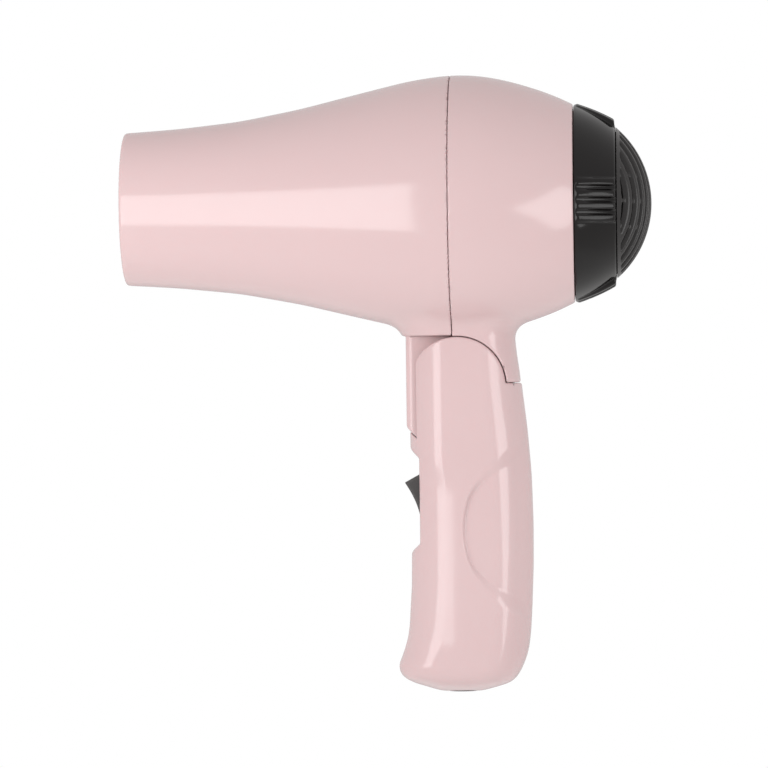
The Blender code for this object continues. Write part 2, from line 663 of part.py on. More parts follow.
def build_fan_duct(grey):
    """Duct ring, mounting flange, vanes and motor cup, moulded in one."""
    flange_radius = BELLY_RADIUS - WALL - SLIDE_GAP
    duct_inner = DUCT_RADIUS - DUCT_WALL
    flange_front = BELLY_ALONG - FLANGE_WIDTH / 2
    outline = [
        (DUCT_FRONT, DUCT_RADIUS), (flange_front, DUCT_RADIUS), (flange_front, flange_radius),
        (flange_front + FLANGE_WIDTH, flange_radius), (flange_front + FLANGE_WIDTH, DUCT_RADIUS),
        (DUCT_REAR, DUCT_RADIUS), (DUCT_REAR, duct_inner), (DUCT_FRONT, duct_inner),
    ]
    duct = turned("fan_duct", outline, steps=36)
    cup_inner = MOTOR_RADIUS + GAP
    cup_rear = MOTOR_REAR - CUP_SHORT
    cup = tube("cup", DUCT_FRONT, cup_rear, cup_inner + CUP_WALL, cup_inner)
    for i in range(STATOR_VANES):
        vane = radial_plate("vane", cup_inner + CUP_WALL / 2, duct_inner + DUCT_WALL / 2,
                            DUCT_FRONT + GAP, cup_rear - GAP, STATOR_VANE_WIDTH,
                            2 * math.pi * i / STATOR_VANES)
        add(cup, vane)
    add(duct, cup)
    duct.data.materials.append(grey)
    return duct


def build_motor(steel):
    """Motor can with a stepped rear edge and a bearing boss in front."""
    front, shoulder = MOTOR_REAR - MOTOR_LENGTH, MOTOR_REAR - MOTOR_LIP
    outline = [(front - BOSS_LENGTH, SHAFT_RADIUS), (front - BOSS_LENGTH, BOSS_RADIUS), (front, BOSS_RADIUS),
               (front, MOTOR_RADIUS), (shoulder, MOTOR_RADIUS), (shoulder, MOTOR_RADIUS - MOTOR_LIP),
               (MOTOR_REAR, MOTOR_RADIUS - MOTOR_LIP), (MOTOR_REAR, SHAFT_RADIUS)]
    return turned("motor_can", outline, steel, ROUND_STEPS)


def build_fan(shaft_steel, fan_plastic):
    """Motor shaft and impeller, which spin together."""
    shaft = rod("motor_shaft", (MOTOR_REAR + GAP, 0, BARREL_Z), (FAN_REAR + BLADE_INSET, 0, BARREL_Z),
                SHAFT_RADIUS, shaft_steel, SMALL_STEPS)
    hub = tube("impeller", FAN_FRONT, FAN_REAR, HUB_RADIUS, SHAFT_RADIUS + GAP)
    for i in range(BLADES):
        blade = radial_plate("blade", HUB_RADIUS - BLADE_INSET, BLADE_REACH, FAN_FRONT + BLADE_INSET,
                             FAN_REAR - BLADE_INSET, BLADE_WIDTH, 2 * math.pi * i / BLADES, BLADE_TILT)
        add(hub, blade)
    hub.data.materials.append(fan_plastic)
    return shaft, hub


def build_rectifier(board_green, black, dark_grey):
    """Round board in front of the motor with four diodes and a suppression capacitor."""
    rear = MOTOR_REAR - MOTOR_LENGTH - GAP
    tube("diode_board", rear - BOARD_THICKNESS, rear, MOTOR_RADIUS, BOARD_BORE, board_green)
    face = rear - BOARD_THICKNESS - GAP
    for i in range(DIODES):
        turn = 2 * math.pi * (i + 0.5) / DIODES
        middle = Vector((0, DIODE_CIRCLE * math.cos(turn), BARREL_Z + DIODE_CIRCLE * math.sin(turn)))
        with_leads(f"diode_{i + 1}", middle, face, DIODE_RADIUS, DIODE_LENGTH, DIODE_LEAD,
                   DIODE_LEAD_LENGTH, black)
    block("capacitor", (face - CAPACITOR_LENGTH, -CAPACITOR_HALF, BARREL_Z - CAPACITOR_LOW),
          (face, CAPACITOR_HALF, BARREL_Z - CAPACITOR_HIGH), dark_grey)


def with_leads(name, middle, rear, radius, length, lead, lead_length, finish):
    """A round body along X with a thin lead at both ends, whose rear lead ends at rear."""
    def at(along):
        return middle + Vector((along, 0, 0))

    body_rear = rear - lead_length
    body = rod(name, at(body_rear - length), at(body_rear), radius, steps=SMALL_STEPS)
    add(body, rod("lead", at(body_rear - length - lead_length), at(rear), lead, steps=6))
    body.data.materials.append(finish)
    return body


# ---- Heater -------------------------------------------------------------------------------
def build_heater(mica, wire, steel, brass):
    """Insulating tube, two crossed boards, the heating coil and its two safety devices."""
    tube("mica_tube", HEATER_FRONT, HEATER_REAR, HEATER_TUBE_RADIUS, HEATER_TUBE_RADIUS - MICA,
         mica, 40)
    front, rear = HEATER_FRONT + BOARD_FRONT_INSET, HEATER_REAR - BOARD_REAR_INSET
    middle = (front + rear) / 2
    slot = MICA / 2 + GAP
    upright = [(front, -BOARD_HALF), (rear, -BOARD_HALF), (rear, BOARD_HALF), (front, BOARD_HALF),
               (front, slot), (middle + GAP, slot), (middle + GAP, -slot), (front, -slot)]
    prism("heater_board_upright", upright, MICA / 2, mica, BARREL)
    flat = [(front, -BOARD_HALF), (rear, -BOARD_HALF), (rear, -slot), (middle - GAP, -slot),
            (middle - GAP, slot), (rear, slot), (rear, BOARD_HALF), (front, BOARD_HALF)]
    board = prism("heater_board_flat", flat, MICA / 2, mica, ORIGIN)
    board.data.transform(Matrix.Translation(BARREL) @ Matrix.Rotation(math.pi / 2, 4, "X"))
    build_coil(front + COIL_FRONT_INSET, rear - COIL_REAR_INSET, wire)
    build_safety(rear - SAFETY_INSET, steel, brass)


def build_safety(rear, steel, brass):
    """Thermostat and thermal fuse on the flat board."""
    foot = BARREL_Z + MICA / 2 + GAP
    thermostat = block("thermostat", (rear - THERMOSTAT_LENGTH, -THERMOSTAT_HIGH, foot),
                       (rear, -THERMOSTAT_LOW, foot + THERMOSTAT_HEIGHT))
    centre = Vector((rear - THERMOSTAT_LENGTH / 2, -(THERMOSTAT_HIGH + THERMOSTAT_LOW) / 2, foot))
    top = THERMOSTAT_HEIGHT + THERMOSTAT_CAP
    add(thermostat, rod("cap", centre + Vector((0, 0, THERMOSTAT_HEIGHT / 2)), centre + Vector((0, 0, top)),
                        THERMOSTAT_CAP_RADIUS, steps=SMALL_STEPS))
    thermostat.data.materials.append(steel)
    with_leads("thermal_fuse", Vector((0, FUSE_ACROSS, foot + FUSE_RADIUS)), rear, FUSE_RADIUS,
               FUSE_LENGTH, FUSE_LEAD, FUSE_LEAD_LENGTH, brass)


def build_coil(start, end, wire):
    """Resistance wire as one long helix round the crossed boards."""
    rows, sides = COIL_TURNS * 12, 4
    rings = []
    for i in range(rows + 1):
        turn = 2 * math.pi * COIL_TURNS * i / rows
        along = start + (end - start) * i / rows
        outward = Vector((0, math.cos(turn), math.sin(turn)))
        centre = BARREL + Vector((along, 0, 0)) + outward * COIL_RADIUS
        ring = []
        for side in range(sides):
            angle = 2 * math.pi * side / sides
            shift = outward * math.cos(angle) + Vector((math.sin(angle), 0, 0))
            ring.append(centre + shift * COIL_WIRE)
        rings.append(ring)
    loft("heater_coil", rings, wire)


def build_outlet_grille(black):
    """Ring, inner ring and four spokes inside the nozzle."""
    front = RIM_ALONG + OUTLET_DEPTH
    rear = front + OUTLET_THICKNESS
    radius = barrel_outline(WALL, RIM_ALONG, RIM_ALONG + OUTLET_DEPTH)[-1][1] - GAP
    grille = tube("outlet_grille", front, rear, radius, radius - OUTLET_RIM, steps=32)
    add(grille, spoke_cross(front, rear, radius))
    for share in OUTLET_RINGS:
        middle = radius * share
        ring = tube("ring", front, rear, middle + OUTLET_BAR / 2, middle - OUTLET_BAR / 2)
        add(grille, ring)
    grille.data.materials.append(black)
    return grille


def spoke_cross(front, rear, radius):
    """Four spokes, a hair thinner than the rings they join."""
    low, high = front + OUTLET_RIM / 8, rear - OUTLET_RIM / 8
    reach = radius - OUTLET_RIM / 2
    cross = block("cross", (low, -reach, -OUTLET_BAR / 2), (high, reach, OUTLET_BAR / 2))
    add(cross, block("other", (low, -OUTLET_BAR / 2, -reach), (high, OUTLET_BAR / 2, reach)))
    cross.data.transform(Matrix.Translation(BARREL))
    return cross


# ---- Handle -------------------------------------------------------------------------------
def handle_outside():
    """The handle's full outer solid, with its round top, switch recess and finger scoops."""
    body = loft("handle", handle_rings(0.0, HANDLE_SHAPE[0][0], HANDLE_DROP, 8))
    top = [(SPARE, REAR_SHOULDER), (CHEEK_RADIUS, REAR_SHOULDER)] + arc(CHEEK_RADIUS, 4, 180, 24)
    top += [(-SPARE, 0.0), (-SPARE, SPARE), (SPARE, SPARE)]
    cut(body, prism("above", top, SPARE))
    cut(body, switch_recess("recess", 0.0))
    return body


def switch_recess(name, margin):
    """The recess across the handle's front, grown by margin."""
    floor = RECESS_FLOOR + margin
    top, bottom = RECESS_TOP - margin, RECESS_BOTTOM + margin
    outline = [(-SPARE, -top), (-FRONT_FACE + margin, -top), (floor, -top - RECESS_RAMP),
               (floor, -bottom + RECESS_RAMP), (-FRONT_FACE + margin, -bottom), (-SPARE, -bottom)]
    return prism(name, outline, SPARE)


def tongue_room():
    """What the tongue needs between the cheeks while the handle folds."""
    swing = TONGUE_REACH + GAP
    foot = 180 + math.degrees(math.acos(FRONT_FACE / swing))
    outline = [(-SPARE, SPARE), (-SPARE, swing * math.sin(math.radians(foot)))]
    outline += arc(swing, foot, 320, 16)
    outline += arc(CHEEK_RADIUS + TONGUE_ROOM, 330, 360, 5)
    outline += [(CHEEK_RADIUS + TONGUE_ROOM, SPARE)]
    return prism("room", outline, TONGUE_HALF + GAP)


def scoop(side):
    """Cutter for the D-shaped finger scoop on one side of the handle."""
    middle = (SCOOP_ALONG, -SCOOP_DROP)
    low = [(x, z) for x, z in arc(SCOOP_RADIUS, 122, 238, 20, middle)]
    outline = low + [(SPARE, low[-1][1]), (SPARE, low[0][1])]
    inner = [(x + SCOOP_SLOPE, z * (1 - SCOOP_SLOPE / SCOOP_DROP) - SCOOP_SLOPE) for x, z in outline]
    place = GRIP_HALF - SCOOP_DEPTH
    rings = [[(x, side * (place + KNIT), PIVOT_Z + z) for x, z in outline],
             [(x, side * (GRIP_HALF + SPLIT_GAP), PIVOT_Z + z) for x, z in outline],
             [(x, side * place, PIVOT_Z + z) for x, z in inner]]
    return loft("scoop", rings)


def handle_hollow():
    """The handle's inside below the tongue, less the screw posts and the recess floor."""
    hollow = loft("hollow", handle_rings(HANDLE_WALL, TONGUE_REACH - HANDLE_WALL,
                                         HANDLE_DROP - HANDLE_WALL, 8))
    for along, drop in HANDLE_SCREWS:
        cut(hollow, across_rod("post", along, drop, -SPARE, SPARE, POST_RADIUS))
    return cut(hollow, switch_recess("floor", HANDLE_WALL))


def rocker_window(name, half, high, low, front, back):
    """A box round the rocker, counted from its pin."""
    return block(name, ROCKER_PIN + Vector((front, -half, -low)), ROCKER_PIN + Vector((back, half, high)))


def across_rod(name, along, drop, start, end, radius, steps=SMALL_STEPS, finish=None):
    """A round bar along Y, by place below the pivot."""
    height = PIVOT_Z - drop
    return rod(name, (along, start, height), (along, end, height), radius, finish, steps)


def build_handle(pink):
    """Near and far half of the handle, joined by screws from the far side."""
    body = handle_outside()
    cut(body, scoop(-1), scoop(1), handle_hollow())
    cut(body, tongue_room())
    cut(body, across_rod("bore", 0, 0, -PIN_HALF_LENGTH - GAP, PIN_HALF_LENGTH + GAP, PIN_RADIUS + GAP,
                         ROUND_STEPS))
    cut(body, rocker_window("window", ROCKER_HALF + GAP, ROCKER_RADIUS + SLIDE_GAP,
                            ROCKER_HEEL_RADIUS + SLIDE_GAP, -SPARE, 0.0))
    cut(body, rod("cord_hole", (CORD_ALONG, 0, -SPARE), (CORD_ALONG, 0, PIVOT_Z - HANDLE_DROP + HANDLE_WALL + KNIT),
                  GLAND_RADIUS + GAP))
    for along, drop in HANDLE_SCREWS:
        seat = across_rod("seat", along, drop, SCREW_SEAT, SPARE, SCREW_HEAD_RADIUS + GAP)
        shank = across_rod("shank", along, drop, SCREW_SEAT - SCREW_LENGTH - HANDLE_WALL / 2, SPARE,
                           SCREW_RADIUS + GAP)
        cut(body, seat, shank)
    far = body.copy()
    far.data = body.data.copy()
    bpy.context.scene.collection.objects.link(far)
    for half, name, low, high in ((body, "handle_near", -SPARE, -SPLIT_GAP / 2),
                                  (far, "handle_far", SPLIT_GAP / 2, SPARE)):
        half.name = name
        keep(half, block("side", (-SPARE, low, -SPARE), (SPARE, high, SPARE * 2)))
        half.data.materials.append(pink)


def build_screws(steel):
    for number, (along, drop) in enumerate(HANDLE_SCREWS, 1):
        head_start = SCREW_SEAT + GAP
        screw = across_rod(f"handle_screw_{number}", along, drop, head_start, head_start + SCREW_HEAD,
                           SCREW_HEAD_RADIUS)
        shank = across_rod("shank", along, drop, head_start - SCREW_LENGTH, head_start + SCREW_HEAD / 2,
                           SCREW_RADIUS)
        add(screw, shank)
        screw.data.materials.append(steel)


def build_pivot_pin(steel):
    return across_rod("pivot_pin", 0, 0, -PIN_HALF_LENGTH, PIN_HALF_LENGTH, PIN_RADIUS, ROUND_STEPS, steel)


# ---- Switch -------------------------------------------------------------------------------
def build_rocker(dark_grey):
    """Three-position rocker, drawn with its lower end pressed in."""
    tip = Vector(arc(ROCKER_TIP_RADIUS, ROCKER_TIP_TURN, ROCKER_TIP_TURN, 0)[0])
    heel = Vector(arc(ROCKER_HEEL_RADIUS, ROCKER_HEEL_TURN, ROCKER_HEEL_TURN, 0)[0])
    dip = Vector(ROCKER_DIP)
    face = [tip * (1 - t) ** 2 + dip * 2 * t * (1 - t) + heel * t**2 for t in np.linspace(0, 0.875, 8)]
    outline = [tuple(point) for point in face]
    outline += arc(ROCKER_HEEL_RADIUS, ROCKER_HEEL_TURN, 265, 3)
    outline += [(ROCKER_BACK, -ROCKER_BACK_HALF), (ROCKER_BACK, ROCKER_BACK_HALF)]
    outline += arc(ROCKER_RADIUS, 95, 117, 3)
    rocker = prism("rocker", outline, ROCKER_HALF, place=ROCKER_PIN)
    bore = rod("bore", ROCKER_PIN - Vector((0, SPARE, 0)), ROCKER_PIN + Vector((0, SPARE, 0)),
               ROCKER_PIN_RADIUS + GAP, steps=SMALL_STEPS)
    cut(rocker, bore)
    rocker.data.materials.append(dark_grey)
    rocker.data.transform(Matrix.Translation(rocker.location - ROCKER_PIN))
    rocker.location = ROCKER_PIN
    return rocker


def build_switch(black, steel, brass):
    """Switch box with a pocket for the rocker, its pin and the terminals."""
    front = RECESS_FLOOR + HANDLE_WALL + GAP
    pin = ROCKER_PIN
    box = block("switch_body", (front, -SWITCH_HALF, pin.z - SWITCH_HALF_HEIGHT),
                (SWITCH_REAR, SWITCH_HALF, pin.z + SWITCH_HALF_HEIGHT))
    cut(box, rocker_window("pocket", ROCKER_HALF + GAP, ROCKER_RADIUS + SLIDE_GAP,
                           ROCKER_HEEL_RADIUS + SLIDE_GAP, -SPARE, SWITCH_POCKET))
    reach = SWITCH_HALF - SWITCH_PIN_COVER
    bore = rod("bore", pin - Vector((0, reach + GAP, 0)), pin + Vector((0, reach + GAP, 0)),
               ROCKER_PIN_RADIUS + GAP, steps=SMALL_STEPS)
    cut(box, bore)
    box.data.materials.append(black)
    rod("rocker_pin", pin - Vector((0, reach, 0)), pin + Vector((0, reach, 0)), ROCKER_PIN_RADIUS, steel,
        SMALL_STEPS)
    for number in range(TERMINALS):
        height = pin.z + (number - (TERMINALS - 1) / 2) * TERMINAL_PITCH
        start = SWITCH_REAR + GAP
        blade = block(f"terminal_{number + 1}",
                      (start, -TERMINAL_HALF, height - TERMINAL_THICKNESS / 2),
                      (start + TERMINAL_LENGTH, TERMINAL_HALF, height + TERMINAL_THICKNESS / 2))
        hole = Vector((start + TERMINAL_LENGTH * 0.7, 0, height))
        cut(blade, rod("hole", hole - Vector((0, 0, SPARE)), hole + Vector((0, 0, SPARE)), TERMINAL_HOLE,
                       steps=SMALL_STEPS))
        blade.data.materials.append(brass)


# ---- Cord entry ---------------------------------------------------------------------------
def build_gland(black):
    """Grommet in the foot of the handle, with its flange inside."""
    foot = -HANDLE_DROP + GLAND_INSET
    seat = -HANDLE_DROP + HANDLE_WALL + GAP
    outline = [(foot, CORD_HOLE_RADIUS), (foot, GLAND_RADIUS), (seat, GLAND_RADIUS),
               (seat, GLAND_FLANGE_RADIUS), (seat + GLAND_FLANGE, GLAND_FLANGE_RADIUS),
               (seat + GLAND_FLANGE, CORD_HOLE_RADIUS)]
    gland = turned("cord_gland", outline, black, ROUND_STEPS, ORIGIN)
    upright = Matrix.Rotation(-math.pi / 2, 4, "Y")
    gland.data.transform(Matrix.Translation((CORD_ALONG, 0, PIVOT_Z)) @ upright)
    return gland


def build_cord_clamp(black):
    foot = PIVOT_Z - HANDLE_DROP
    high, low = foot + CLAMP_HIGH, foot + CLAMP_LOW
    side = CORD_HOLE_RADIUS + GAP
    return block("cord_clamp", (CORD_ALONG - CLAMP_HALF, side, low),
                 (CORD_ALONG + CLAMP_HALF, side + CLAMP_THICKNESS, high), black)


def build_lead(name, side, finish):
    """Insulated lead from a switch terminal down to the cord clamp."""
    start = ROCKER_DROP + TERMINAL_PITCH + TERMINAL_THICKNESS
    clamp = HANDLE_DROP - CLAMP_HIGH
    route = ((start, LEAD_ALONG), ((start * 3 + clamp) / 4, LEAD_ALONG), ((start + clamp * 2) / 3, LEAD_ALONG / 2),
             (clamp, CORD_ALONG * 2), (HANDLE_DROP - GLAND_FLANGE * 4, CORD_ALONG))
    drops = np.linspace(route[0][0], route[-1][0], 22)
    places = curve_through(route, drops)
    line = bpy.data.curves.new(name, "CURVE")
    line.dimensions = "3D"
    line.bevel_depth = LEAD_RADIUS
    line.bevel_resolution = 1
    line.use_fill_caps = True
    spline = line.splines.new("POLY")
    spline.points.add(len(drops) - 1)
    for point, along, drop in zip(spline.points, places, drops):
        point.co = (along, side * LEAD_SPREAD, PIVOT_Z - drop, 1.0)
    line.materials.append(finish)
    made = bpy.data.objects.new(name, line)
    bpy.context.scene.collection.objects.link(made)
    return made


# ---- Assembly -----------------------------------------------------------------------------
def clear_scene():
    for item in list(bpy.data.objects):
        bpy.data.objects.remove(item, do_unlink=True)


def joint_empty(name, place, children):
    """Puts an empty on a joint's axis and parents what it carries, which stays where it is."""
    empty = bpy.data.objects.new(name, None)
    empty.location = place
    bpy.context.scene.collection.objects.link(empty)
    bpy.context.view_layer.update()
    for child in children:
        child.parent = empty
        child.matrix_parent_inverse = empty.matrix_world.inverted()


def shade(item):
    if item.type == "MESH":
        item.data.shade_smooth()
        item.data.set_sharp_from_angle(angle=math.radians(30))


def main():
    clear_scene()
    pink = material("pink_gloss", (0.78, 0.52, 0.53), 0.18)
    black = material("black_gloss", (0.018, 0.016, 0.016), 0.22)
    dark_grey = material("dark_grey_satin", (0.06, 0.057, 0.058), 0.45)
    grey = material("duct_grey", (0.20, 0.20, 0.21), 0.5)
    screen = material("screen_grey", (0.08, 0.08, 0.085), 0.6)
    fan_plastic = material("fan_plastic", (0.35, 0.36, 0.38), 0.45)
    steel = material("steel", (0.56, 0.56, 0.57), 0.3, 1.0)
    brass = material("brass", (0.75, 0.55, 0.25), 0.3, 1.0)
    soft_black = material("soft_black", (0.02, 0.02, 0.02), 0.55)
    mica = material("mica", (0.52, 0.43, 0.30), 0.55)
    wire = material("heating_wire", (0.45, 0.42, 0.40), 0.35, 1.0)
    board_green = material("board_green", (0.10, 0.22, 0.10), 0.5)
    red = material("lead_red", (0.50, 0.04, 0.04), 0.45)
    blue = material("lead_blue", (0.05, 0.10, 0.42), 0.45)

    front_shell = build_front_shell(pink)
    rear_shell = build_rear_shell(pink)
    cap = [build_rear_collar(black), build_inlet_grille(black), build_dust_foam(soft_black),
           build_lint_filter(screen)]
    build_fan_duct(grey)
    build_motor(steel)
    fan = build_fan(steel, fan_plastic)
    build_rectifier(board_green, black, dark_grey)
    build_heater(mica, wire, steel, brass)
    build_outlet_grille(black)
    build_handle(pink)
    build_screws(steel)
    build_pivot_pin(steel)
    build_rocker(dark_grey)
    build_switch(black, steel, brass)
    build_gland(soft_black)
    build_cord_clamp(dark_grey)
    build_lead("lead_live", 1, red)
    build_lead("lead_neutral", -1, blue)

    bpy.context.view_layer.update()
    joint_empty("rear_cap_axis", BARREL, cap)
    joint_empty("fan_axis", BARREL, fan)
    joint_empty("fold_axis", PIVOT, [front_shell, rear_shell])
    for item in bpy.data.objects:
        shade(item)


main()
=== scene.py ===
"""Looks of the folding travel hair dryer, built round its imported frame.

Glossy shells, the collar, the slatted inlet and the rocker are modelled as distance fields,
so that every edge has its own small radius and every blend is smooth. Each field is skinned
into a mesh whose normals come from the field itself. The pieces inside keep their frame nodes
and get detailed materials.
"""

import json
import logging
import math
from collections.abc import Callable, Sequence
from dataclasses import dataclass, field
from enum import Enum

import bpy
import numpy as np
from mathutils import Matrix, Quaternion, Vector


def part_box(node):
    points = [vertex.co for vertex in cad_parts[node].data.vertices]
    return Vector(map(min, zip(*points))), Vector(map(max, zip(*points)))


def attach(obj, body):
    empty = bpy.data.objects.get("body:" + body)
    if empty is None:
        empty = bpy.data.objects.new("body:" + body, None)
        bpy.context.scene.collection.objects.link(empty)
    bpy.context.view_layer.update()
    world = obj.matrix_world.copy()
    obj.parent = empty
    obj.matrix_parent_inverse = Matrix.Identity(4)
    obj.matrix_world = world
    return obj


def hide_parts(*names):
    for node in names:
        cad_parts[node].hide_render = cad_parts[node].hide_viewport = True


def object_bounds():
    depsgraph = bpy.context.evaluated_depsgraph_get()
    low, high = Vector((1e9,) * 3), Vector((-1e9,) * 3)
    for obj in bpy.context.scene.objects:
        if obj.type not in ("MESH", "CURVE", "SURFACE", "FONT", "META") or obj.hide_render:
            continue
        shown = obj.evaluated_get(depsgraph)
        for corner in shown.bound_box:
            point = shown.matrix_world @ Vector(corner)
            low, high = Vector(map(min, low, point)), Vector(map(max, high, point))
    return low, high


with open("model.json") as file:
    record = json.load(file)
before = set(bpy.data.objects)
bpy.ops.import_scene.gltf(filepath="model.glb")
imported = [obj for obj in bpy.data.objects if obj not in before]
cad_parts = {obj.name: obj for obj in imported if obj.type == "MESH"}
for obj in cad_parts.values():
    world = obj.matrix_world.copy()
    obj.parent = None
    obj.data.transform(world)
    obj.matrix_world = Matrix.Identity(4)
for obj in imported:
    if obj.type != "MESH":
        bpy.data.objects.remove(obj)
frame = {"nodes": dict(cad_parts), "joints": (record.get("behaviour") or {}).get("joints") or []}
FRAME_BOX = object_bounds()

log = logging.getLogger("hair_dryer")

Array = np.ndarray
Field = Callable[[Array, Array, Array], Array]
Point = tuple[float, float, float]

# Roundings of edges and inner corners, in metres.
HAIR_EDGE = 0.0002
CRISP_EDGE = 0.0003
FINE_EDGE = 0.0004
SMALL_EDGE = 0.0005
SOFT_EDGE = 0.0006
FULL_EDGE = 0.0007
ROUND_EDGE = 0.0008
FAR = 0.05  # beyond every surface of a section
SLIGHT = 1e-9  # keeps a division away from nought
TINY = 1e-12


# ---- Fields: signed distances in metres, negative inside ------------------------------------
def joined(a: Array, b: Array, fillet: float = 0.0) -> Array:
    """Union of two distances.

    Args:
        a: First distance.
        b: Second distance.
        fillet: Size of the smooth blend where they meet.

    Returns:
        The distance of the union.
    """
    if fillet <= 0:
        return np.minimum(a, b)
    blend = np.maximum(fillet - np.abs(a - b), 0.0) / fillet
    return np.minimum(a, b) - blend * blend * fillet / 4


def shared(a: Array, b: Array, edge: float = 0.0) -> Array:
    """Intersection of two distances, with rounded edges.

    Args:
        a: First distance.
        b: Second distance.
        edge: Size of the rounding.

    Returns:
        The distance of what both hold.
    """
    return -joined(-a, -b, edge)


def without(a: Array, b: Array, edge: float = 0.0) -> Array:
    """Distance of a with b taken away, with rounded edges.

    Args:
        a: What is cut.
        b: What is taken away.
        edge: Size of the rounding.

    Returns:
        The distance of what is left.
    """
    return shared(a, -b, edge)


def smooth_step(value: Array) -> Array:
    """Runs from 0 to 1 with flat ends."""
    share = np.clip(value, 0.0, 1.0)
    return share * share * (3 - 2 * share)


@dataclass(frozen=True)
class Outline:
    """A smooth curve of values over places, from a few of its points."""

    points: tuple[tuple[float, float], ...]
    soften: float = 0.002
    spacing: float = 0.00025
    beyond: float = 0.02
    table: tuple[Array, Array] = field(init=False)

    def __post_init__(self) -> None:
        """Works out a fine table once."""
        places, values = np.array(self.points, float).T
        fine = np.arange(places[0] - self.beyond, places[-1] + self.beyond, self.spacing)
        rough = np.interp(fine, places, values)
        steps = np.diff(values) / np.diff(places)
        rough = np.where(fine < places[0], values[0] + steps[0] * (fine - places[0]), rough)
        rough = np.where(fine > places[-1], values[-1] + steps[-1] * (fine - places[-1]), rough)
        reach = int(3 * self.soften / self.spacing)
        kernel = np.exp(-0.5 * (np.arange(-reach, reach + 1) * self.spacing / self.soften) ** 2)
        padded = np.pad(rough, reach, mode="reflect", reflect_type="odd")
        smooth = np.convolve(padded, kernel / kernel.sum(), mode="valid")
        object.__setattr__(self, "table", (fine, smooth))

    def at(self, places: Array) -> Array:
        """Values of the curve at these places."""
        return np.interp(places, *self.table)

    def slope(self, places: Array, reach: float) -> Array:
        """Steepness of the curve, taken over a short reach to both sides."""
        return (self.at(places + reach) - self.at(places - reach)) / (2 * reach)


def polygon_distance(along: Array, rise: Array, corners: Sequence[tuple[float, float]]) -> Array:
    """Signed distance to a closed outline in a plane.

    Args:
        along: First coordinate.
        rise: Second coordinate.
        corners: The outline's corners in order.

    Returns:
        The distance, negative inside.
    """
    nearest = np.full(along.shape, np.inf)
    sign = np.ones(along.shape)
    for (ax, az), (bx, bz) in zip(corners, list(corners[1:]) + [corners[0]]):
        ex, ez = bx - ax, bz - az
        wx, wz = along - ax, rise - az
        share = np.clip((wx * ex + wz * ez) / (ex * ex + ez * ez), 0.0, 1.0)
        nearest = np.minimum(nearest, (wx - ex * share) ** 2 + (wz - ez * share) ** 2)
        above, below = rise >= az, rise < bz
        turning = ex * wz > ez * wx
        flips = (above & below & turning) | (~above & ~below & ~turning)
        sign = np.where(flips, -sign, sign)
    return sign * np.sqrt(nearest)


def oval_distance(x: Array, y: Array, front: Array, rear: Array, half: Array,
                  front_round: float, rear_round: float) -> Array:
    """Distance to a section with flat sides and elliptic front and rear.

    Args:
        x: Along the section.
        y: Across the section.
        front: Foremost place.
        rear: Rearmost place.
        half: Half the width.
        front_round: Depth of the front ellipse.
        rear_round: Depth of the rear ellipse.

    Returns:
        The distance, negative inside.
    """
    ahead = (front + front_round - x) / front_round
    behind = (x - rear + rear_round) / rear_round
    u = np.maximum(np.maximum(ahead, behind), 0.0)
    depth = np.where(ahead > behind, front_round, rear_round)
    v = y / half
    size = np.sqrt(u * u + v * v) + SLIGHT
    slope = np.sqrt((u / depth) ** 2 + (v / half) ** 2) + SLIGHT
    return (size - 1) * size / slope


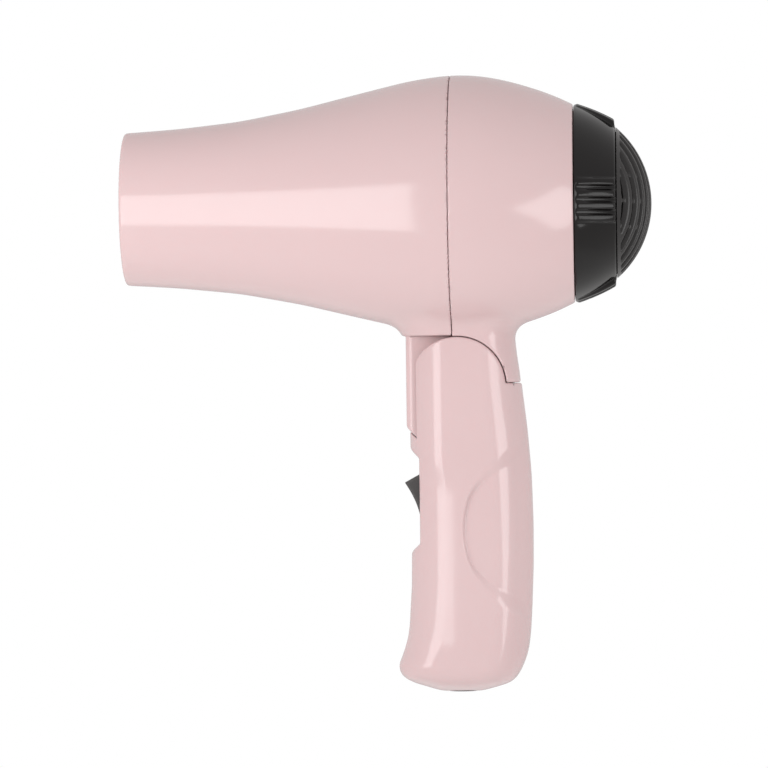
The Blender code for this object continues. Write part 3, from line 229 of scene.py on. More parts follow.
@dataclass(frozen=True)
class Skin:
    """Turns a field into a mesh whose normals come from the field."""

    distance: Field
    low: Point
    high: Point
    step: float
    probe: float = 0.08
    rounds: int = 4

    def lattice(self) -> tuple[list[Array], Array]:
        """Samples the field on a regular lattice.

        Returns:
            The places along each axis, and the values at every crossing of them.
        """
        axes = [np.arange(a - 1.5 * self.step, b + 2.5 * self.step, self.step)
                for a, b in zip(self.low, self.high)]
        grid = np.meshgrid(*axes, indexing="ij", sparse=True)
        shape = tuple(len(axis) for axis in axes)
        values = self.distance(*[np.broadcast_to(g, shape) for g in grid])
        return axes, np.where(values == 0, TINY, values)

    def slope(self, points: Array) -> Array:
        """Gradient of the field at these points.

        Args:
            points: Places as rows of three.

        Returns:
            The gradient at each of them.
        """
        reach = self.step * self.probe
        parts = []
        for axis in range(3):
            shift = np.zeros(3)
            shift[axis] = reach
            parts.append(self.distance(*(points + shift).T) - self.distance(*(points - shift).T))
        return np.stack(parts, axis=1) / (2 * reach)

    def settle(self, points: Array) -> tuple[Array, Array]:
        """Moves the points onto the surface, and gives its normals there.

        Args:
            points: Places near the surface, as rows of three.

        Returns:
            Places on the surface and the unit normals there.
        """
        start = points.copy()
        for _ in range(self.rounds):
            slope = self.slope(points)
            size = (slope * slope).sum(axis=1, keepdims=True) + TINY
            points = points - slope * self.distance(*points.T)[:, None] / size
            points = start + np.clip(points - start, -self.step, self.step)
        slope = self.slope(points)
        return points, slope / (np.linalg.norm(slope, axis=1, keepdims=True) + TINY)

    def surface(self) -> tuple[Array, Array, Array]:
        """One point for each lattice cell that the surface crosses, joined into quads.

        Returns:
            Points, quads as rows of four indices, and normals.
        """
        axes, values = self.lattice()
        inside = values < 0
        cells = tuple(n - 1 for n in values.shape)
        count = np.zeros(cells, np.int8)
        corners = [(i, j, k) for i in (0, 1) for j in (0, 1) for k in (0, 1)]
        for i, j, k in corners:
            count += inside[i:i + cells[0], j:j + cells[1], k:k + cells[2]]
        where = np.argwhere((count > 0) & (count < 8))
        index = np.full(cells, -1, np.int64)
        index[tuple(where.T)] = np.arange(len(where))
        total = np.zeros((len(where), 3))
        crossings = np.zeros(len(where))
        for a in corners:
            for axis in range(3):
                if a[axis]:
                    continue
                b = tuple(n + (m == axis) for m, n in enumerate(a))
                first = values[tuple((where + a).T)]
                second = values[tuple((where + b).T)]
                crossed = (first < 0) != (second < 0)
                share = np.where(crossed, first / np.where(crossed, first - second, 1.0), 0.0)
                place = where + np.array(a, float)
                place[:, axis] += share
                total += place * crossed[:, None]
                crossings += crossed
        points = total / crossings[:, None] * self.step + [axis[0] for axis in axes]
        points, normals = self.settle(points)
        return points, self.quads(inside, index), normals

    @staticmethod
    def quads(inside: Array, index: Array) -> Array:
        """Four cells round each lattice edge that the surface crosses, facing outwards.

        Args:
            inside: Which lattice points lie inside.
            index: Number of the point in each cell, or -1.

        Returns:
            Rows of four point numbers.
        """
        rows = []
        for axis in range(3):
            u, v = (axis + 1) % 3, (axis + 2) % 3
            ahead = np.roll(inside, -1, axis=axis)
            crossed = inside != ahead
            edges = np.argwhere(crossed)
            limit = np.array(index.shape)
            fits = (edges < limit).all(axis=1) & (edges[:, u] > 0) & (edges[:, v] > 0)
            edges = edges[fits]
            step_u, step_v = np.eye(3, dtype=int)[u], np.eye(3, dtype=int)[v]
            ring = [edges - step_u - step_v, edges - step_v, edges, edges - step_u]
            quad = np.stack([index[tuple(cell.T)] for cell in ring], axis=1)
            leaving = inside[tuple(edges.T)]
            quad[~leaving] = quad[~leaving][:, ::-1]
            rows.append(quad[(quad >= 0).all(axis=1)])
        return np.concatenate(rows)

    def mesh(self, name: str) -> bpy.types.Object:
        """Makes the object.

        Args:
            name: Name of the object and of its mesh.

        Returns:
            The object, linked to the scene.
        """
        points, quads, normals = self.surface()
        made = bpy.data.meshes.new(name)
        made.vertices.add(len(points))
        made.vertices.foreach_set("co", points.astype(np.float32).ravel())
        made.loops.add(quads.size)
        made.loops.foreach_set("vertex_index", quads.astype(np.int32).ravel())
        made.polygons.add(len(quads))
        made.polygons.foreach_set("loop_start", np.arange(0, quads.size, 4, dtype=np.int32))
        made.update(calc_edges=True)
        made.validate()
        made.shade_smooth()
        made.normals_split_custom_set_from_vertices(normals.tolist())
        piece = bpy.data.objects.new(name, made)
        bpy.context.scene.collection.objects.link(piece)
        return piece


def put(piece: bpy.types.Object, body: "Body", finish: bpy.types.Material,
        replaced: Sequence[str]) -> bpy.types.Object:
    """Dresses a piece, makes it ride its body and stand for its frame nodes.

    Args:
        piece: The new piece.
        body: The body that it moves with.
        finish: Its material.
        replaced: Frame nodes that it stands for.

    Returns:
        The same piece.
    """
    piece.data.materials.clear()
    piece.data.materials.append(finish)
    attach(piece, body.value)
    if replaced:
        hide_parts(*replaced)
    log.info("%s rides %s with %d points", piece.name, body.value, len(piece.data.vertices))
    return piece


class Body(Enum):
    """Bodies of the frame that new pieces ride."""

    HANDLE = "handle"
    HOUSING = "housing"
    REAR_CAP = "rear_cap"
    ROCKER = "rocker"


def joint_place(name: str) -> Vector:
    """Place of a joint's axis in the frame."""
    return Vector(next(joint for joint in frame["joints"] if joint["name"] == name)["pos_m"])


PIVOT = joint_place("handle_fold")
AXIS_RISE = joint_place("rear_cap_twist").z - PIVOT.z
PIN = joint_place("switch_rock")


def upright(low: Point, high: Point) -> tuple[Point, Point]:
    """Turns two corners counted from the pivot into corners of the frame."""
    return (low[0], low[1], low[2] + PIVOT.z), (high[0], high[1], high[2] + PIVOT.z)


def arc(radius: float, start: float, end: float, steps: int) -> list[tuple[float, float]]:
    """Points of an arc about the origin, angles in degrees."""
    turns = np.radians(np.linspace(start, end, steps + 1))
    return [(radius * math.cos(t), radius * math.sin(t)) for t in turns]


# ---- Effects shared by the finishes ----------------------------------------------------------
class Effects:
    """Node groups, each built once and placed in every material that needs it."""

    def __init__(self) -> None:
        """Builds all groups."""
        self.tone = self._tone()
        self.relief = self._relief()
        self.brush = self._brush()
        self.flow = self._flow()

    @staticmethod
    def _start(name: str, inputs: Sequence[tuple[str, str, object]],
               outputs: Sequence[tuple[str, str]]) -> bpy.types.NodeTree:
        """Makes an empty group.

        Args:
            name: The group's name.
            inputs: Name, socket type and default of each input.
            outputs: Name and socket type of each output.

        Returns:
            The group's tree.
        """
        tree = bpy.data.node_groups.new(name, "ShaderNodeTree")
        for label, kind, default in inputs:
            made = tree.interface.new_socket(name=label, in_out="INPUT", socket_type=kind)
            if default is not None:
                made.default_value = default
        for label, kind in outputs:
            tree.interface.new_socket(name=label, in_out="OUTPUT", socket_type=kind)
        tree.nodes.new("NodeGroupInput")
        tree.nodes.new("NodeGroupOutput")
        return tree

    @staticmethod
    def _ends(tree: bpy.types.NodeTree) -> tuple[bpy.types.Node, bpy.types.Node]:
        """The group's input and output nodes."""
        return tree.nodes["Group Input"], tree.nodes["Group Output"]

    @staticmethod
    def _noise(tree: bpy.types.NodeTree, place: bpy.types.NodeSocket,
               scale: bpy.types.NodeSocket | float, detail: float) -> bpy.types.NodeSocket:
        """Adds a noise texture.

        Args:
            tree: The group.
            place: Where the place comes from.
            scale: Its scale, linked or fixed.
            detail: Number of octaves.

        Returns:
            The value socket.
        """
        noise = tree.nodes.new("ShaderNodeTexNoise")
        noise.inputs["Detail"].default_value = detail
        tree.links.new(place, noise.inputs["Vector"])
        if isinstance(scale, float):
            noise.inputs["Scale"].default_value = scale
        else:
            tree.links.new(scale, noise.inputs["Scale"])
        return noise.outputs["Fac"]

    @staticmethod
    def _sum(tree: bpy.types.NodeTree, operation: str, *terms: bpy.types.NodeSocket | float
             ) -> bpy.types.NodeSocket:
        """Adds a Math node.

        Args:
            tree: The group.
            operation: Blender's name of it.
            terms: Its inputs, linked or fixed.

        Returns:
            The result.
        """
        node = tree.nodes.new("ShaderNodeMath")
        node.operation = operation
        for socket, term in zip(node.inputs, terms):
            if isinstance(term, (int, float)):
                socket.default_value = term
            else:
                tree.links.new(term, socket)
        return node.outputs[0]

    @staticmethod
    def _blend(tree: bpy.types.NodeTree, share: bpy.types.NodeSocket, first: bpy.types.NodeSocket,
               second: bpy.types.NodeSocket) -> bpy.types.NodeSocket:
        """Adds a mix of two colours.

        Args:
            tree: The group.
            share: How much of the second colour.
            first: First colour.
            second: Second colour.

        Returns:
            The mixed colour.
        """
        mix = tree.nodes.new("ShaderNodeMix")
        mix.data_type = "RGBA"
        tree.links.new(share, mix.inputs["Factor"])
        tree.links.new(first, mix.inputs["A"])
        tree.links.new(second, mix.inputs["B"])
        return mix.outputs["Result"]

    @staticmethod
    def _stretched(tree: bpy.types.NodeTree, place: bpy.types.NodeSocket,
                   by: bpy.types.NodeSocket | Point) -> bpy.types.NodeSocket:
        """Adds a stretch of the place.

        Args:
            tree: The group.
            place: Where the place comes from.
            by: Scale along each axis, linked or fixed.

        Returns:
            The stretched place.
        """
        scaled = tree.nodes.new("ShaderNodeVectorMath")
        scaled.operation = "MULTIPLY"
        tree.links.new(place, scaled.inputs[0])
        if isinstance(by, tuple):
            scaled.inputs[1].default_value = by
        else:
            tree.links.new(by, scaled.inputs[1])
        return scaled.outputs[0]

    def _tone(self) -> bpy.types.NodeTree:
        """Colour and roughness that drift over a moulded surface, with dust and rub marks.

        Returns:
            The group's tree.
        """
        tree = self._start(
            "moulded_tone",
            (("Place", "NodeSocketVector", None), ("Colour", "NodeSocketColor", None),
             ("Drift", "NodeSocketFloat", 0.02), ("Roughness", "NodeSocketFloat", 0.2),
             ("Rub", "NodeSocketFloat", 0.05), ("Speck", "NodeSocketFloat", 0.05)),
            (("Colour", "NodeSocketColor"), ("Roughness", "NodeSocketFloat")))
        start, end = self._ends(tree)
        place = start.outputs["Place"]
        cloud = self._noise(tree, place, 38.0, 3.0)
        grain = self._noise(tree, place, 900.0, 2.0)
        away = self._sum(tree, "SUBTRACT", cloud, 0.5)
        bright = self._sum(tree, "MULTIPLY_ADD", away, start.outputs["Drift"], 1.0)
        peak = self._sum(tree, "GREATER_THAN", grain, 0.74)
        fleck = self._sum(tree, "MULTIPLY", peak, start.outputs["Speck"])
        value = self._sum(tree, "SUBTRACT", bright, fleck)
        tint = tree.nodes.new("ShaderNodeHueSaturation")
        tree.links.new(start.outputs["Colour"], tint.inputs["Color"])
        tree.links.new(value, tint.inputs["Value"])
        tree.links.new(tint.outputs["Color"], end.inputs["Colour"])
        rubbed = self._noise(tree, place, 120.0, 6.0)
        lifted = self._sum(tree, "SUBTRACT", rubbed, 0.5)
        spread = self._sum(tree, "MULTIPLY_ADD", lifted, start.outputs["Rub"],
                           start.outputs["Roughness"])
        tree.links.new(self._sum(tree, "MAXIMUM", spread, 0.03), end.inputs["Roughness"])
        return tree

    def _relief(self) -> bpy.types.NodeTree:
        """Height of a moulded skin: slow waves and a fine orange peel.

        Returns:
            The group's tree.
        """
        tree = self._start(
            "moulded_relief",
            (("Place", "NodeSocketVector", None), ("Wave", "NodeSocketFloat", 0.5),
             ("Wave Scale", "NodeSocketFloat", 45.0), ("Peel", "NodeSocketFloat", 0.1),
             ("Peel Scale", "NodeSocketFloat", 900.0)),
            (("Height", "NodeSocketFloat"),))
        start, end = self._ends(tree)
        place = start.outputs["Place"]
        slow = self._noise(tree, place, start.outputs["Wave Scale"], 1.0)
        fine = self._noise(tree, place, start.outputs["Peel Scale"], 2.0)
        waves = self._sum(tree, "MULTIPLY", slow, start.outputs["Wave"])
        height = self._sum(tree, "MULTIPLY_ADD", fine, start.outputs["Peel"], waves)
        tree.links.new(height, end.inputs["Height"])
        return tree

    def _brush(self) -> bpy.types.NodeTree:
        """Fine lines drawn along one direction, for metal, wire and mica.

        Returns:
            The group's tree.
        """
        tree = self._start(
            "drawn_lines",
            (("Place", "NodeSocketVector", None), ("Stretch", "NodeSocketVector", (60, 900, 900)),
             ("Colour", "NodeSocketColor", None), ("Other", "NodeSocketColor", None),
             ("Roughness", "NodeSocketFloat", 0.3), ("Rub", "NodeSocketFloat", 0.2)),
            (("Colour", "NodeSocketColor"), ("Roughness", "NodeSocketFloat"),
             ("Height", "NodeSocketFloat")))
        start, end = self._ends(tree)
        place = start.outputs["Place"]
        drawn = self._stretched(tree, place, start.outputs["Stretch"])
        lines = self._noise(tree, drawn, 1.0, 4.0)
        stains = self._noise(tree, place, 160.0, 4.0)
        share = self._sum(tree, "MULTIPLY", self._sum(tree, "ADD", lines, stains), 0.5)
        steep = self._sum(tree, "MULTIPLY_ADD", self._sum(tree, "SUBTRACT", share, 0.5), 3.0, 0.5)
        colour = self._blend(tree, steep, start.outputs["Colour"], start.outputs["Other"])
        tree.links.new(colour, end.inputs["Colour"])
        away = self._sum(tree, "SUBTRACT", lines, 0.5)
        rough = self._sum(tree, "MULTIPLY_ADD", away, start.outputs["Rub"],
                          start.outputs["Roughness"])
        tree.links.new(self._sum(tree, "MAXIMUM", rough, 0.05), end.inputs["Roughness"])
        tree.links.new(lines, end.inputs["Height"])
        return tree

    def _flow(self) -> bpy.types.NodeTree:
        """Pearly streaks that the melt leaves in a light gloss plastic.

        Returns:
            The group's tree.
        """
        tree = self._start(
            "melt_flow",
            (("Place", "NodeSocketVector", None), ("Colour", "NodeSocketColor", None),
             ("Streak", "NodeSocketColor", None), ("Amount", "NodeSocketFloat", 0.2)),
            (("Colour", "NodeSocketColor"),))
        start, end = self._ends(tree)
        drawn = self._stretched(tree, start.outputs["Place"], (14.0, 40.0, 40.0))
        streaks = self._noise(tree, drawn, 1.0, 3.0)
        share = self._sum(tree, "MULTIPLY", streaks, start.outputs["Amount"])
        colour = self._blend(tree, share, start.outputs["Colour"], start.outputs["Streak"])
        tree.links.new(colour, end.inputs["Colour"])
        return tree


def blank(name: str) -> tuple[bpy.types.NodeTree, bpy.types.Node, bpy.types.NodeSocket]:
    """A new material with its shader and its place in the frame.

    Args:
        name: The material's name.

    Returns:
        The tree, the Principled shader and the socket of the place.
    """
    made = bpy.data.materials.new(name)
    made.use_nodes = True
    tree = made.node_tree
    shader = next(node for node in tree.nodes if node.type == "BSDF_PRINCIPLED")
    place = tree.nodes.new("ShaderNodeTexCoord").outputs["Object"]
    return tree, shader, place


def with_group(tree: bpy.types.NodeTree, group: bpy.types.NodeTree, place: bpy.types.NodeSocket,
               values: dict[str, object]) -> bpy.types.Node:
    """Places a group in a material.

    Args:
        tree: The material's tree.
        group: The group.
        place: Socket of the place in the frame.
        values: A value or a socket for each input.

    Returns:
        The group's node.
    """
    node = tree.nodes.new("ShaderNodeGroup")
    node.node_tree = group
    tree.links.new(place, node.inputs["Place"])
    for label, value in values.items():
        if isinstance(value, bpy.types.NodeSocket):
            tree.links.new(value, node.inputs[label])
        else:
            node.inputs[label].default_value = value
    return node


def raise_bump(tree: bpy.types.NodeTree, shader: bpy.types.Node, height: bpy.types.NodeSocket,
               distance: float) -> None:
    """Feeds a height into the shader's normal.

    Args:
        tree: The material's tree.
        shader: Its Principled shader.
        height: The height.
        distance: Size in metres of a height of one.
    """
    bump = tree.nodes.new("ShaderNodeBump")
    bump.inputs["Strength"].default_value = 1.0
    bump.inputs["Distance"].default_value = distance
    tree.links.new(height, bump.inputs["Height"])
    tree.links.new(bump.outputs["Normal"], shader.inputs["Normal"])


@dataclass(frozen=True)
class Moulded:
    """A moulded plastic or rubber."""

    name: str
    slot: str
    colour: tuple[float, float, float]
    roughness: float
    drift: float = 0.03
    rub: float = 0.06
    speck: float = 0.05
    wave: float = 0.5
    wave_scale: float = 45.0
    peel: float = 0.08
    peel_scale: float = 900.0
    relief: float = 0.00004
    specular: float = 0.5
    subsurface: float = 0.0
    streak: tuple[float, float, float] | None = None
    streak_amount: float = 0.2

    def material(self, effects: Effects) -> bpy.types.Material:
        """Builds the material.

        Args:
            effects: The shared groups.

        Returns:
            The material.
        """
        tree, shader, place = blank(self.name)
        colour: object = (*self.colour, 1.0)
        if self.streak is not None:
            flow = with_group(tree, effects.flow, place, {
                "Colour": colour, "Streak": (*self.streak, 1.0), "Amount": self.streak_amount})
            colour = flow.outputs["Colour"]
        tone = with_group(tree, effects.tone, place, {
            "Colour": colour, "Drift": self.drift, "Roughness": self.roughness, "Rub": self.rub,
            "Speck": self.speck})
        tree.links.new(tone.outputs["Colour"], shader.inputs["Base Color"])
        tree.links.new(tone.outputs["Roughness"], shader.inputs["Roughness"])
        relief = with_group(tree, effects.relief, place, {
            "Wave": self.wave, "Wave Scale": self.wave_scale, "Peel": self.peel,
            "Peel Scale": self.peel_scale})
        raise_bump(tree, shader, relief.outputs["Height"], self.relief)
        shader.inputs["Specular IOR Level"].default_value = self.specular
        if self.subsurface:
            shader.inputs["Subsurface Weight"].default_value = self.subsurface
            shader.inputs["Subsurface Radius"].default_value = (1.0, 0.5, 0.5)
            shader.inputs["Subsurface Scale"].default_value = 0.002
        return bpy.data.materials[self.name]


@dataclass(frozen=True)
class Drawn:
    """Metal, wire or mica, with fine lines along one direction."""

    name: str
    slot: str
    colour: tuple[float, float, float]
    other: tuple[float, float, float]
    roughness: float
    metallic: float = 1.0
    stretch: Point = (60.0, 900.0, 900.0)
    rub: float = 0.2
    relief: float = 0.00002

    def material(self, effects: Effects) -> bpy.types.Material:
        """Builds the material.

        Args:
            effects: The shared groups.

        Returns:
            The material.
        """
        tree, shader, place = blank(self.name)
        drawn = with_group(tree, effects.brush, place, {
            "Stretch": self.stretch, "Colour": (*self.colour, 1.0), "Other": (*self.other, 1.0),
            "Roughness": self.roughness, "Rub": self.rub})
        tree.links.new(drawn.outputs["Colour"], shader.inputs["Base Color"])
        tree.links.new(drawn.outputs["Roughness"], shader.inputs["Roughness"])
        shader.inputs["Metallic"].default_value = self.metallic
        raise_bump(tree, shader, drawn.outputs["Height"], self.relief)
        return bpy.data.materials[self.name]


@dataclass(frozen=True)
class Palette:
    """Every finish of the dryer."""

    pink: Moulded = Moulded(
        "pink_gloss_shell", "pink_gloss", (0.668, 0.488, 0.491), 0.14, drift=0.02, rub=0.05,
        speck=0.02, wave=0.9, wave_scale=38.0, peel=0.05, peel_scale=700.0, relief=0.00006,
        subsurface=0.10, specular=0.6, streak=(0.72, 0.560, 0.562), streak_amount=0.25)
    black: Moulded = Moulded(
        "black_gloss_cap", "black_gloss", (0.006, 0.005, 0.005), 0.10, drift=0.2, rub=0.07,
        speck=0.0, specular=0.33, wave=0.8, wave_scale=70.0, peel=0.15, peel_scale=1200.0)
    grille: Moulded = Moulded(
        "black_satin_grille", "black_gloss", (0.020, 0.018, 0.018), 0.27, drift=0.2, rub=0.12,
        peel=0.3, peel_scale=1600.0)
    rocker: Moulded = Moulded(
        "dark_grey_rocker", "dark_grey_satin", (0.060, 0.057, 0.056), 0.42, drift=0.15, rub=0.15,
        peel=0.6, peel_scale=2600.0)
    clamp: Moulded = Moulded(
        "dark_grey_fibre", "dark_grey_satin", (0.055, 0.052, 0.050), 0.6, drift=0.4, rub=0.2,
        peel=1.0, peel_scale=1800.0)
    switch: Moulded = Moulded(
        "black_switch_box", "black_gloss", (0.020, 0.019, 0.019), 0.4, drift=0.3, rub=0.2,
        peel=0.7, peel_scale=2200.0)
    outlet: Moulded = Moulded(
        "black_heat_grille", "black_gloss", (0.024, 0.022, 0.021), 0.38, drift=0.3, rub=0.2,
        peel=0.6, peel_scale=1900.0)
    duct: Moulded = Moulded(
        "grey_fan_duct", "duct_grey", (0.20, 0.20, 0.21), 0.5, drift=0.12, rub=0.15, peel=0.8,
        peel_scale=1400.0)
    screen: Moulded = Moulded(
        "grey_screen_wire", "screen_grey", (0.11, 0.11, 0.115), 0.42, drift=0.35, rub=0.2,
        peel=0.5, peel_scale=3000.0)
    fan: Moulded = Moulded(
        "grey_fan_plastic", "fan_plastic", (0.35, 0.36, 0.38), 0.42, drift=0.12, rub=0.15,
        peel=0.6, peel_scale=1500.0)
    board: Moulded = Moulded(
        "green_board", "board_green", (0.06, 0.20, 0.08), 0.45, drift=0.5, rub=0.25, speck=0.4,
        peel=0.9, peel_scale=900.0)
    red_lead: Moulded = Moulded(
        "red_lead", "lead_red", (0.50, 0.04, 0.04), 0.42, drift=0.1, rub=0.15, peel=0.5,
        peel_scale=1200.0)
    blue_lead: Moulded = Moulded(
        "blue_lead", "lead_blue", (0.05, 0.10, 0.42), 0.42, drift=0.1, rub=0.15, peel=0.5,
        peel_scale=1200.0)
    rubber: Moulded = Moulded(
        "black_rubber", "soft_black", (0.022, 0.022, 0.023), 0.6, drift=0.3, rub=0.15, speck=0.2,
        peel=1.0, peel_scale=1700.0)
    foam: Moulded = Moulded(
        "open_dust_foam", "soft_black", (0.014, 0.014, 0.015), 0.85, drift=0.9, rub=0.1, speck=0.5,
        wave=0.0, peel=1.0, peel_scale=2600.0, relief=0.0004, specular=0.2)
    capacitor: Moulded = Moulded(
        "capacitor_lacquer", "dark_grey_satin", (0.060, 0.045, 0.030), 0.3, drift=0.4, rub=0.15,
        peel=0.6, peel_scale=1400.0)
    diode: Moulded = Moulded(
        "diode_resin", "black_gloss", (0.024, 0.024, 0.024), 0.42, drift=0.3, rub=0.2, peel=0.8,
        peel_scale=3200.0)
    steel: Drawn = Drawn("drawn_steel", "steel", (0.60, 0.60, 0.61), (0.42, 0.42, 0.44), 0.28)
    motor: Drawn = Drawn("rolled_motor_can", "steel", (0.58, 0.57, 0.56), (0.44, 0.43, 0.42), 0.34)
    screw: Drawn = Drawn("screw_steel", "steel", (0.46, 0.46, 0.47), (0.30, 0.30, 0.31), 0.32,
                         stretch=(800.0, 200.0, 800.0))
    brass: Drawn = Drawn("pressed_brass", "brass", (0.78, 0.58, 0.28), (0.55, 0.38, 0.16), 0.3)
    mica: Drawn = Drawn("layered_mica", "mica", (0.62, 0.53, 0.38), (0.36, 0.28, 0.18), 0.4,
                        metallic=0.0, stretch=(90.0, 260.0, 260.0), relief=0.00008)
    wire: Drawn = Drawn("heated_wire", "heating_wire", (0.50, 0.46, 0.42), (0.26, 0.20, 0.18), 0.35)


# ---- Barrel and neck --------------------------------------------------------------------------
@dataclass(frozen=True)
class BarrelForm:
    """The turned form of both barrel shells, with the neck that flares out of it."""

    outline: Outline = Outline((
        (-0.0994, 0.0229), (-0.0944, 0.02319), (-0.0829, 0.02396), (-0.0648, 0.02589),
        (-0.0468, 0.02928), (-0.0288, 0.03367), (-0.0140, 0.03719), (-0.0049, 0.03855),
        (0.0011, 0.0389), (0.0071, 0.0386), (0.0131, 0.0376), (0.0191, 0.03603),
        (0.0251, 0.03412), (0.0311, 0.03182), (0.0351, 0.0298)), 0.0028)
    neck_front: Outline = Outline((
        (-0.010, -0.0156), (0.0024, -0.0156), (0.0096, -0.01575), (0.0144, -0.0161),
        (0.0400, -0.0175)), 0.0015)
    neck_rear: Outline = Outline((
        (-0.0040, 0.0191), (0.0032, 0.0186), (0.0086, 0.0178), (0.0140, 0.0172),
        (0.0400, 0.0160)), 0.0015)
    half: float = 0.0145
    neck_top: float = 0.045
    wall: float = 0.0018
    front_round: float = 0.0085
    rear_round: float = 0.0090

    def turned(self, x: Array, y: Array, z: Array, inset: float = 0.0) -> Array:
        """Distance to the turned form.

        Args:
            x: Along the barrel.
            y: Across it.
            z: Rise above the pivot.
            inset: How much smaller its radius is.

        Returns:
            The distance.
        """
        from_axis = np.sqrt(y * y + (z - AXIS_RISE) ** 2)
        slope = self.outline.slope(x, 0.0005)
        return (from_axis - self.outline.at(x) + inset) / np.sqrt(1 + slope * slope)

    def neck(self, x: Array, y: Array, z: Array) -> Array:
        """Distance to the upright neck, which runs on up into the barrel.

        Args:
            x: Along from the pivot.
            y: Across.
            z: Rise above the pivot.

        Returns:
            The distance, negative inside.
        """
        column = oval_distance(x, y, self.neck_front.at(z), self.neck_rear.at(z), self.half,
                               self.front_round, self.rear_round)
        return np.maximum(column, z - self.neck_top)


@dataclass
class HousingShells:
    """Front and rear pink shell: barrel, neck and the tongue of the hinge."""

    form: BarrelForm = BarrelForm()
    rim_along: float = -0.0994
    seam_front: float = -0.00138
    seam_rear: float = -0.00123
    seam_edge: float = 0.00022
    rim_edge: float = 0.0011
    front_fillet: float = 0.0055
    rear_fillet: float = 0.0045
    lip: float = 0.0008
    lip_depth: float = 0.0009
    lip_root: float = 0.002
    lip_room: float = 0.0001
    end_along: float = 0.03532
    underside: float = 0.0149
    stop_rise: float = 0.00078
    arc_radius: float = 0.01472
    cheek_radius: float = 0.0145
    inner_radius: float = 0.0154
    stop_along: float = 0.0157
    stop_half: float = 0.0008
    stop_across: float = 0.0069
    stop_middle: float = 0.0015
    stop_reach: float = 0.0020
    tongue_half: float = 0.0077
    tongue_front: float = -0.0155
    tongue_corner: float = 0.0022
    tongue_reach: float = 0.0196
    tongue_top: float = 0.030
    tongue_wall: float = 0.0022
    foot_turn: float = 238.0
    cheek_turns: tuple[float, float] = (250.0, 352.0)
    inner_turns: tuple[float, float] = (356.0, 450.0)
    channel: float = 0.0044
    channel_top: float = 0.030
    across: float = 0.0392
    bottom: float = -0.0205
    rear_bottom: float = -0.0006
    top: float = 0.0934
    step: float = 0.00068
    rear_step_share: float = 0.9

    def tongue(self, x: Array, y: Array, z: Array) -> Array:
        """Distance to the knuckle between the cheeks of the handle.

        Args:
            x: Along from the pivot.
            y: Across.
            z: Rise above the pivot.

        Returns:
            The distance, negative inside.
        """
        foot = 180 + math.degrees(math.acos(-self.tongue_front / self.tongue_reach))
        outline = [(self.tongue_front, self.tongue_top),
                   *arc(self.tongue_reach, foot, self.foot_turn, 6),
                   *arc(self.cheek_radius, *self.cheek_turns, 14),
                   *arc(self.inner_radius, *self.inner_turns, 14),
                   (self.seam_front, self.inner_radius), (self.seam_front, self.tongue_top)]
        side = polygon_distance(x, z, outline)
        ahead = self.tongue_front + self.tongue_corner - x
        beside = np.abs(y) - self.tongue_half + self.tongue_corner
        corner = np.sqrt(np.maximum(ahead, 0) ** 2 + np.maximum(beside, 0) ** 2)
        plan = corner + np.minimum(np.maximum(ahead, beside), 0.0) - self.tongue_corner
        return shared(side, plan, SMALL_EDGE)

    def front(self, x: Array, y: Array, z: Array) -> Array:
        """Distance to the front shell.

        Args:
            x: Along the barrel.
            y: Across it.
            z: Rise in the frame.

        Returns:
            The distance, negative inside.
        """
        z = z - PIVOT.z
        body = joined(self.form.turned(x, y, z), self.form.neck(x, y, z), self.front_fillet)
        body = shared(body, self.underside - z, SOFT_EDGE)
        knuckle = self.tongue(x, y, z)
        body = joined(shared(body, x - self.seam_front, self.seam_edge), knuckle)
        lip = np.maximum(self.form.turned(x, y, z, self.lip_depth), x - self.seam_front - self.lip)
        lip = np.maximum(lip, self.seam_front - self.lip_root - x)
        body = np.minimum(body, lip)
        body = shared(body, self.rim_along - x, self.rim_edge)
        body = without(body, self.form.turned(x, y, z, self.form.wall), SOFT_EDGE)
        half = self.channel / 2
        beside = np.abs(x - self.tongue_front - self.tongue_wall - half) - half
        wires = np.maximum(np.maximum(np.abs(y) - half, beside), z - self.channel_top)
        return without(body, wires, FINE_EDGE)

    def rear(self, x: Array, y: Array, z: Array) -> Array:
        """Distance to the rear shell.

        Args:
            x: Along the barrel.
            y: Across it.
            z: Rise in the frame.

        Returns:
            The distance, negative inside.
        """
        z = z - PIVOT.z
        body = joined(self.form.turned(x, y, z), self.form.neck(x, y, z), self.rear_fillet)
        body = shared(body, self.stop_rise - z, FULL_EDGE)
        body = without(body, np.sqrt(x * x + z * z) - self.arc_radius, SOFT_EDGE)
        stop = np.maximum(np.abs(x - self.stop_along) - self.stop_half,
                          np.abs(y) - self.stop_across)
        stop = np.maximum(stop, np.abs(z - self.stop_middle) - self.stop_reach)
        body = np.minimum(body, stop)
        body = shared(body, self.seam_rear - x, self.seam_edge)
        rebate = np.maximum(self.form.turned(x, y, z, self.lip_depth - self.lip_room),
                            x - self.seam_front - self.lip - 2 * self.lip_room)
        body = without(body, rebate)
        body = shared(body, x - self.end_along, FINE_EDGE)
        return without(body, self.form.turned(x, y, z, self.form.wall), FINE_EDGE)

    def build(self, pink: bpy.types.Material, slot: str) -> None:
        """Makes both shells.

        Args:
            pink: Their material.
            slot: Its slot in the record; not used.
        """
        low, high = upright((self.rim_along, -self.across, self.bottom),
                            (self.inner_radius, self.across, self.top))
        shell = Skin(self.front, low, high, self.step).mesh("front_shell_skin")
        put(shell, Body.HOUSING, pink, ["front_shell"])
        low, high = upright((self.seam_rear, -self.across, self.rear_bottom),
                            (self.end_along, self.across, self.top))
        shell = Skin(self.rear, low, high, self.step * self.rear_step_share).mesh("rear_shell_skin")
        put(shell, Body.HOUSING, pink, ["rear_shell"])


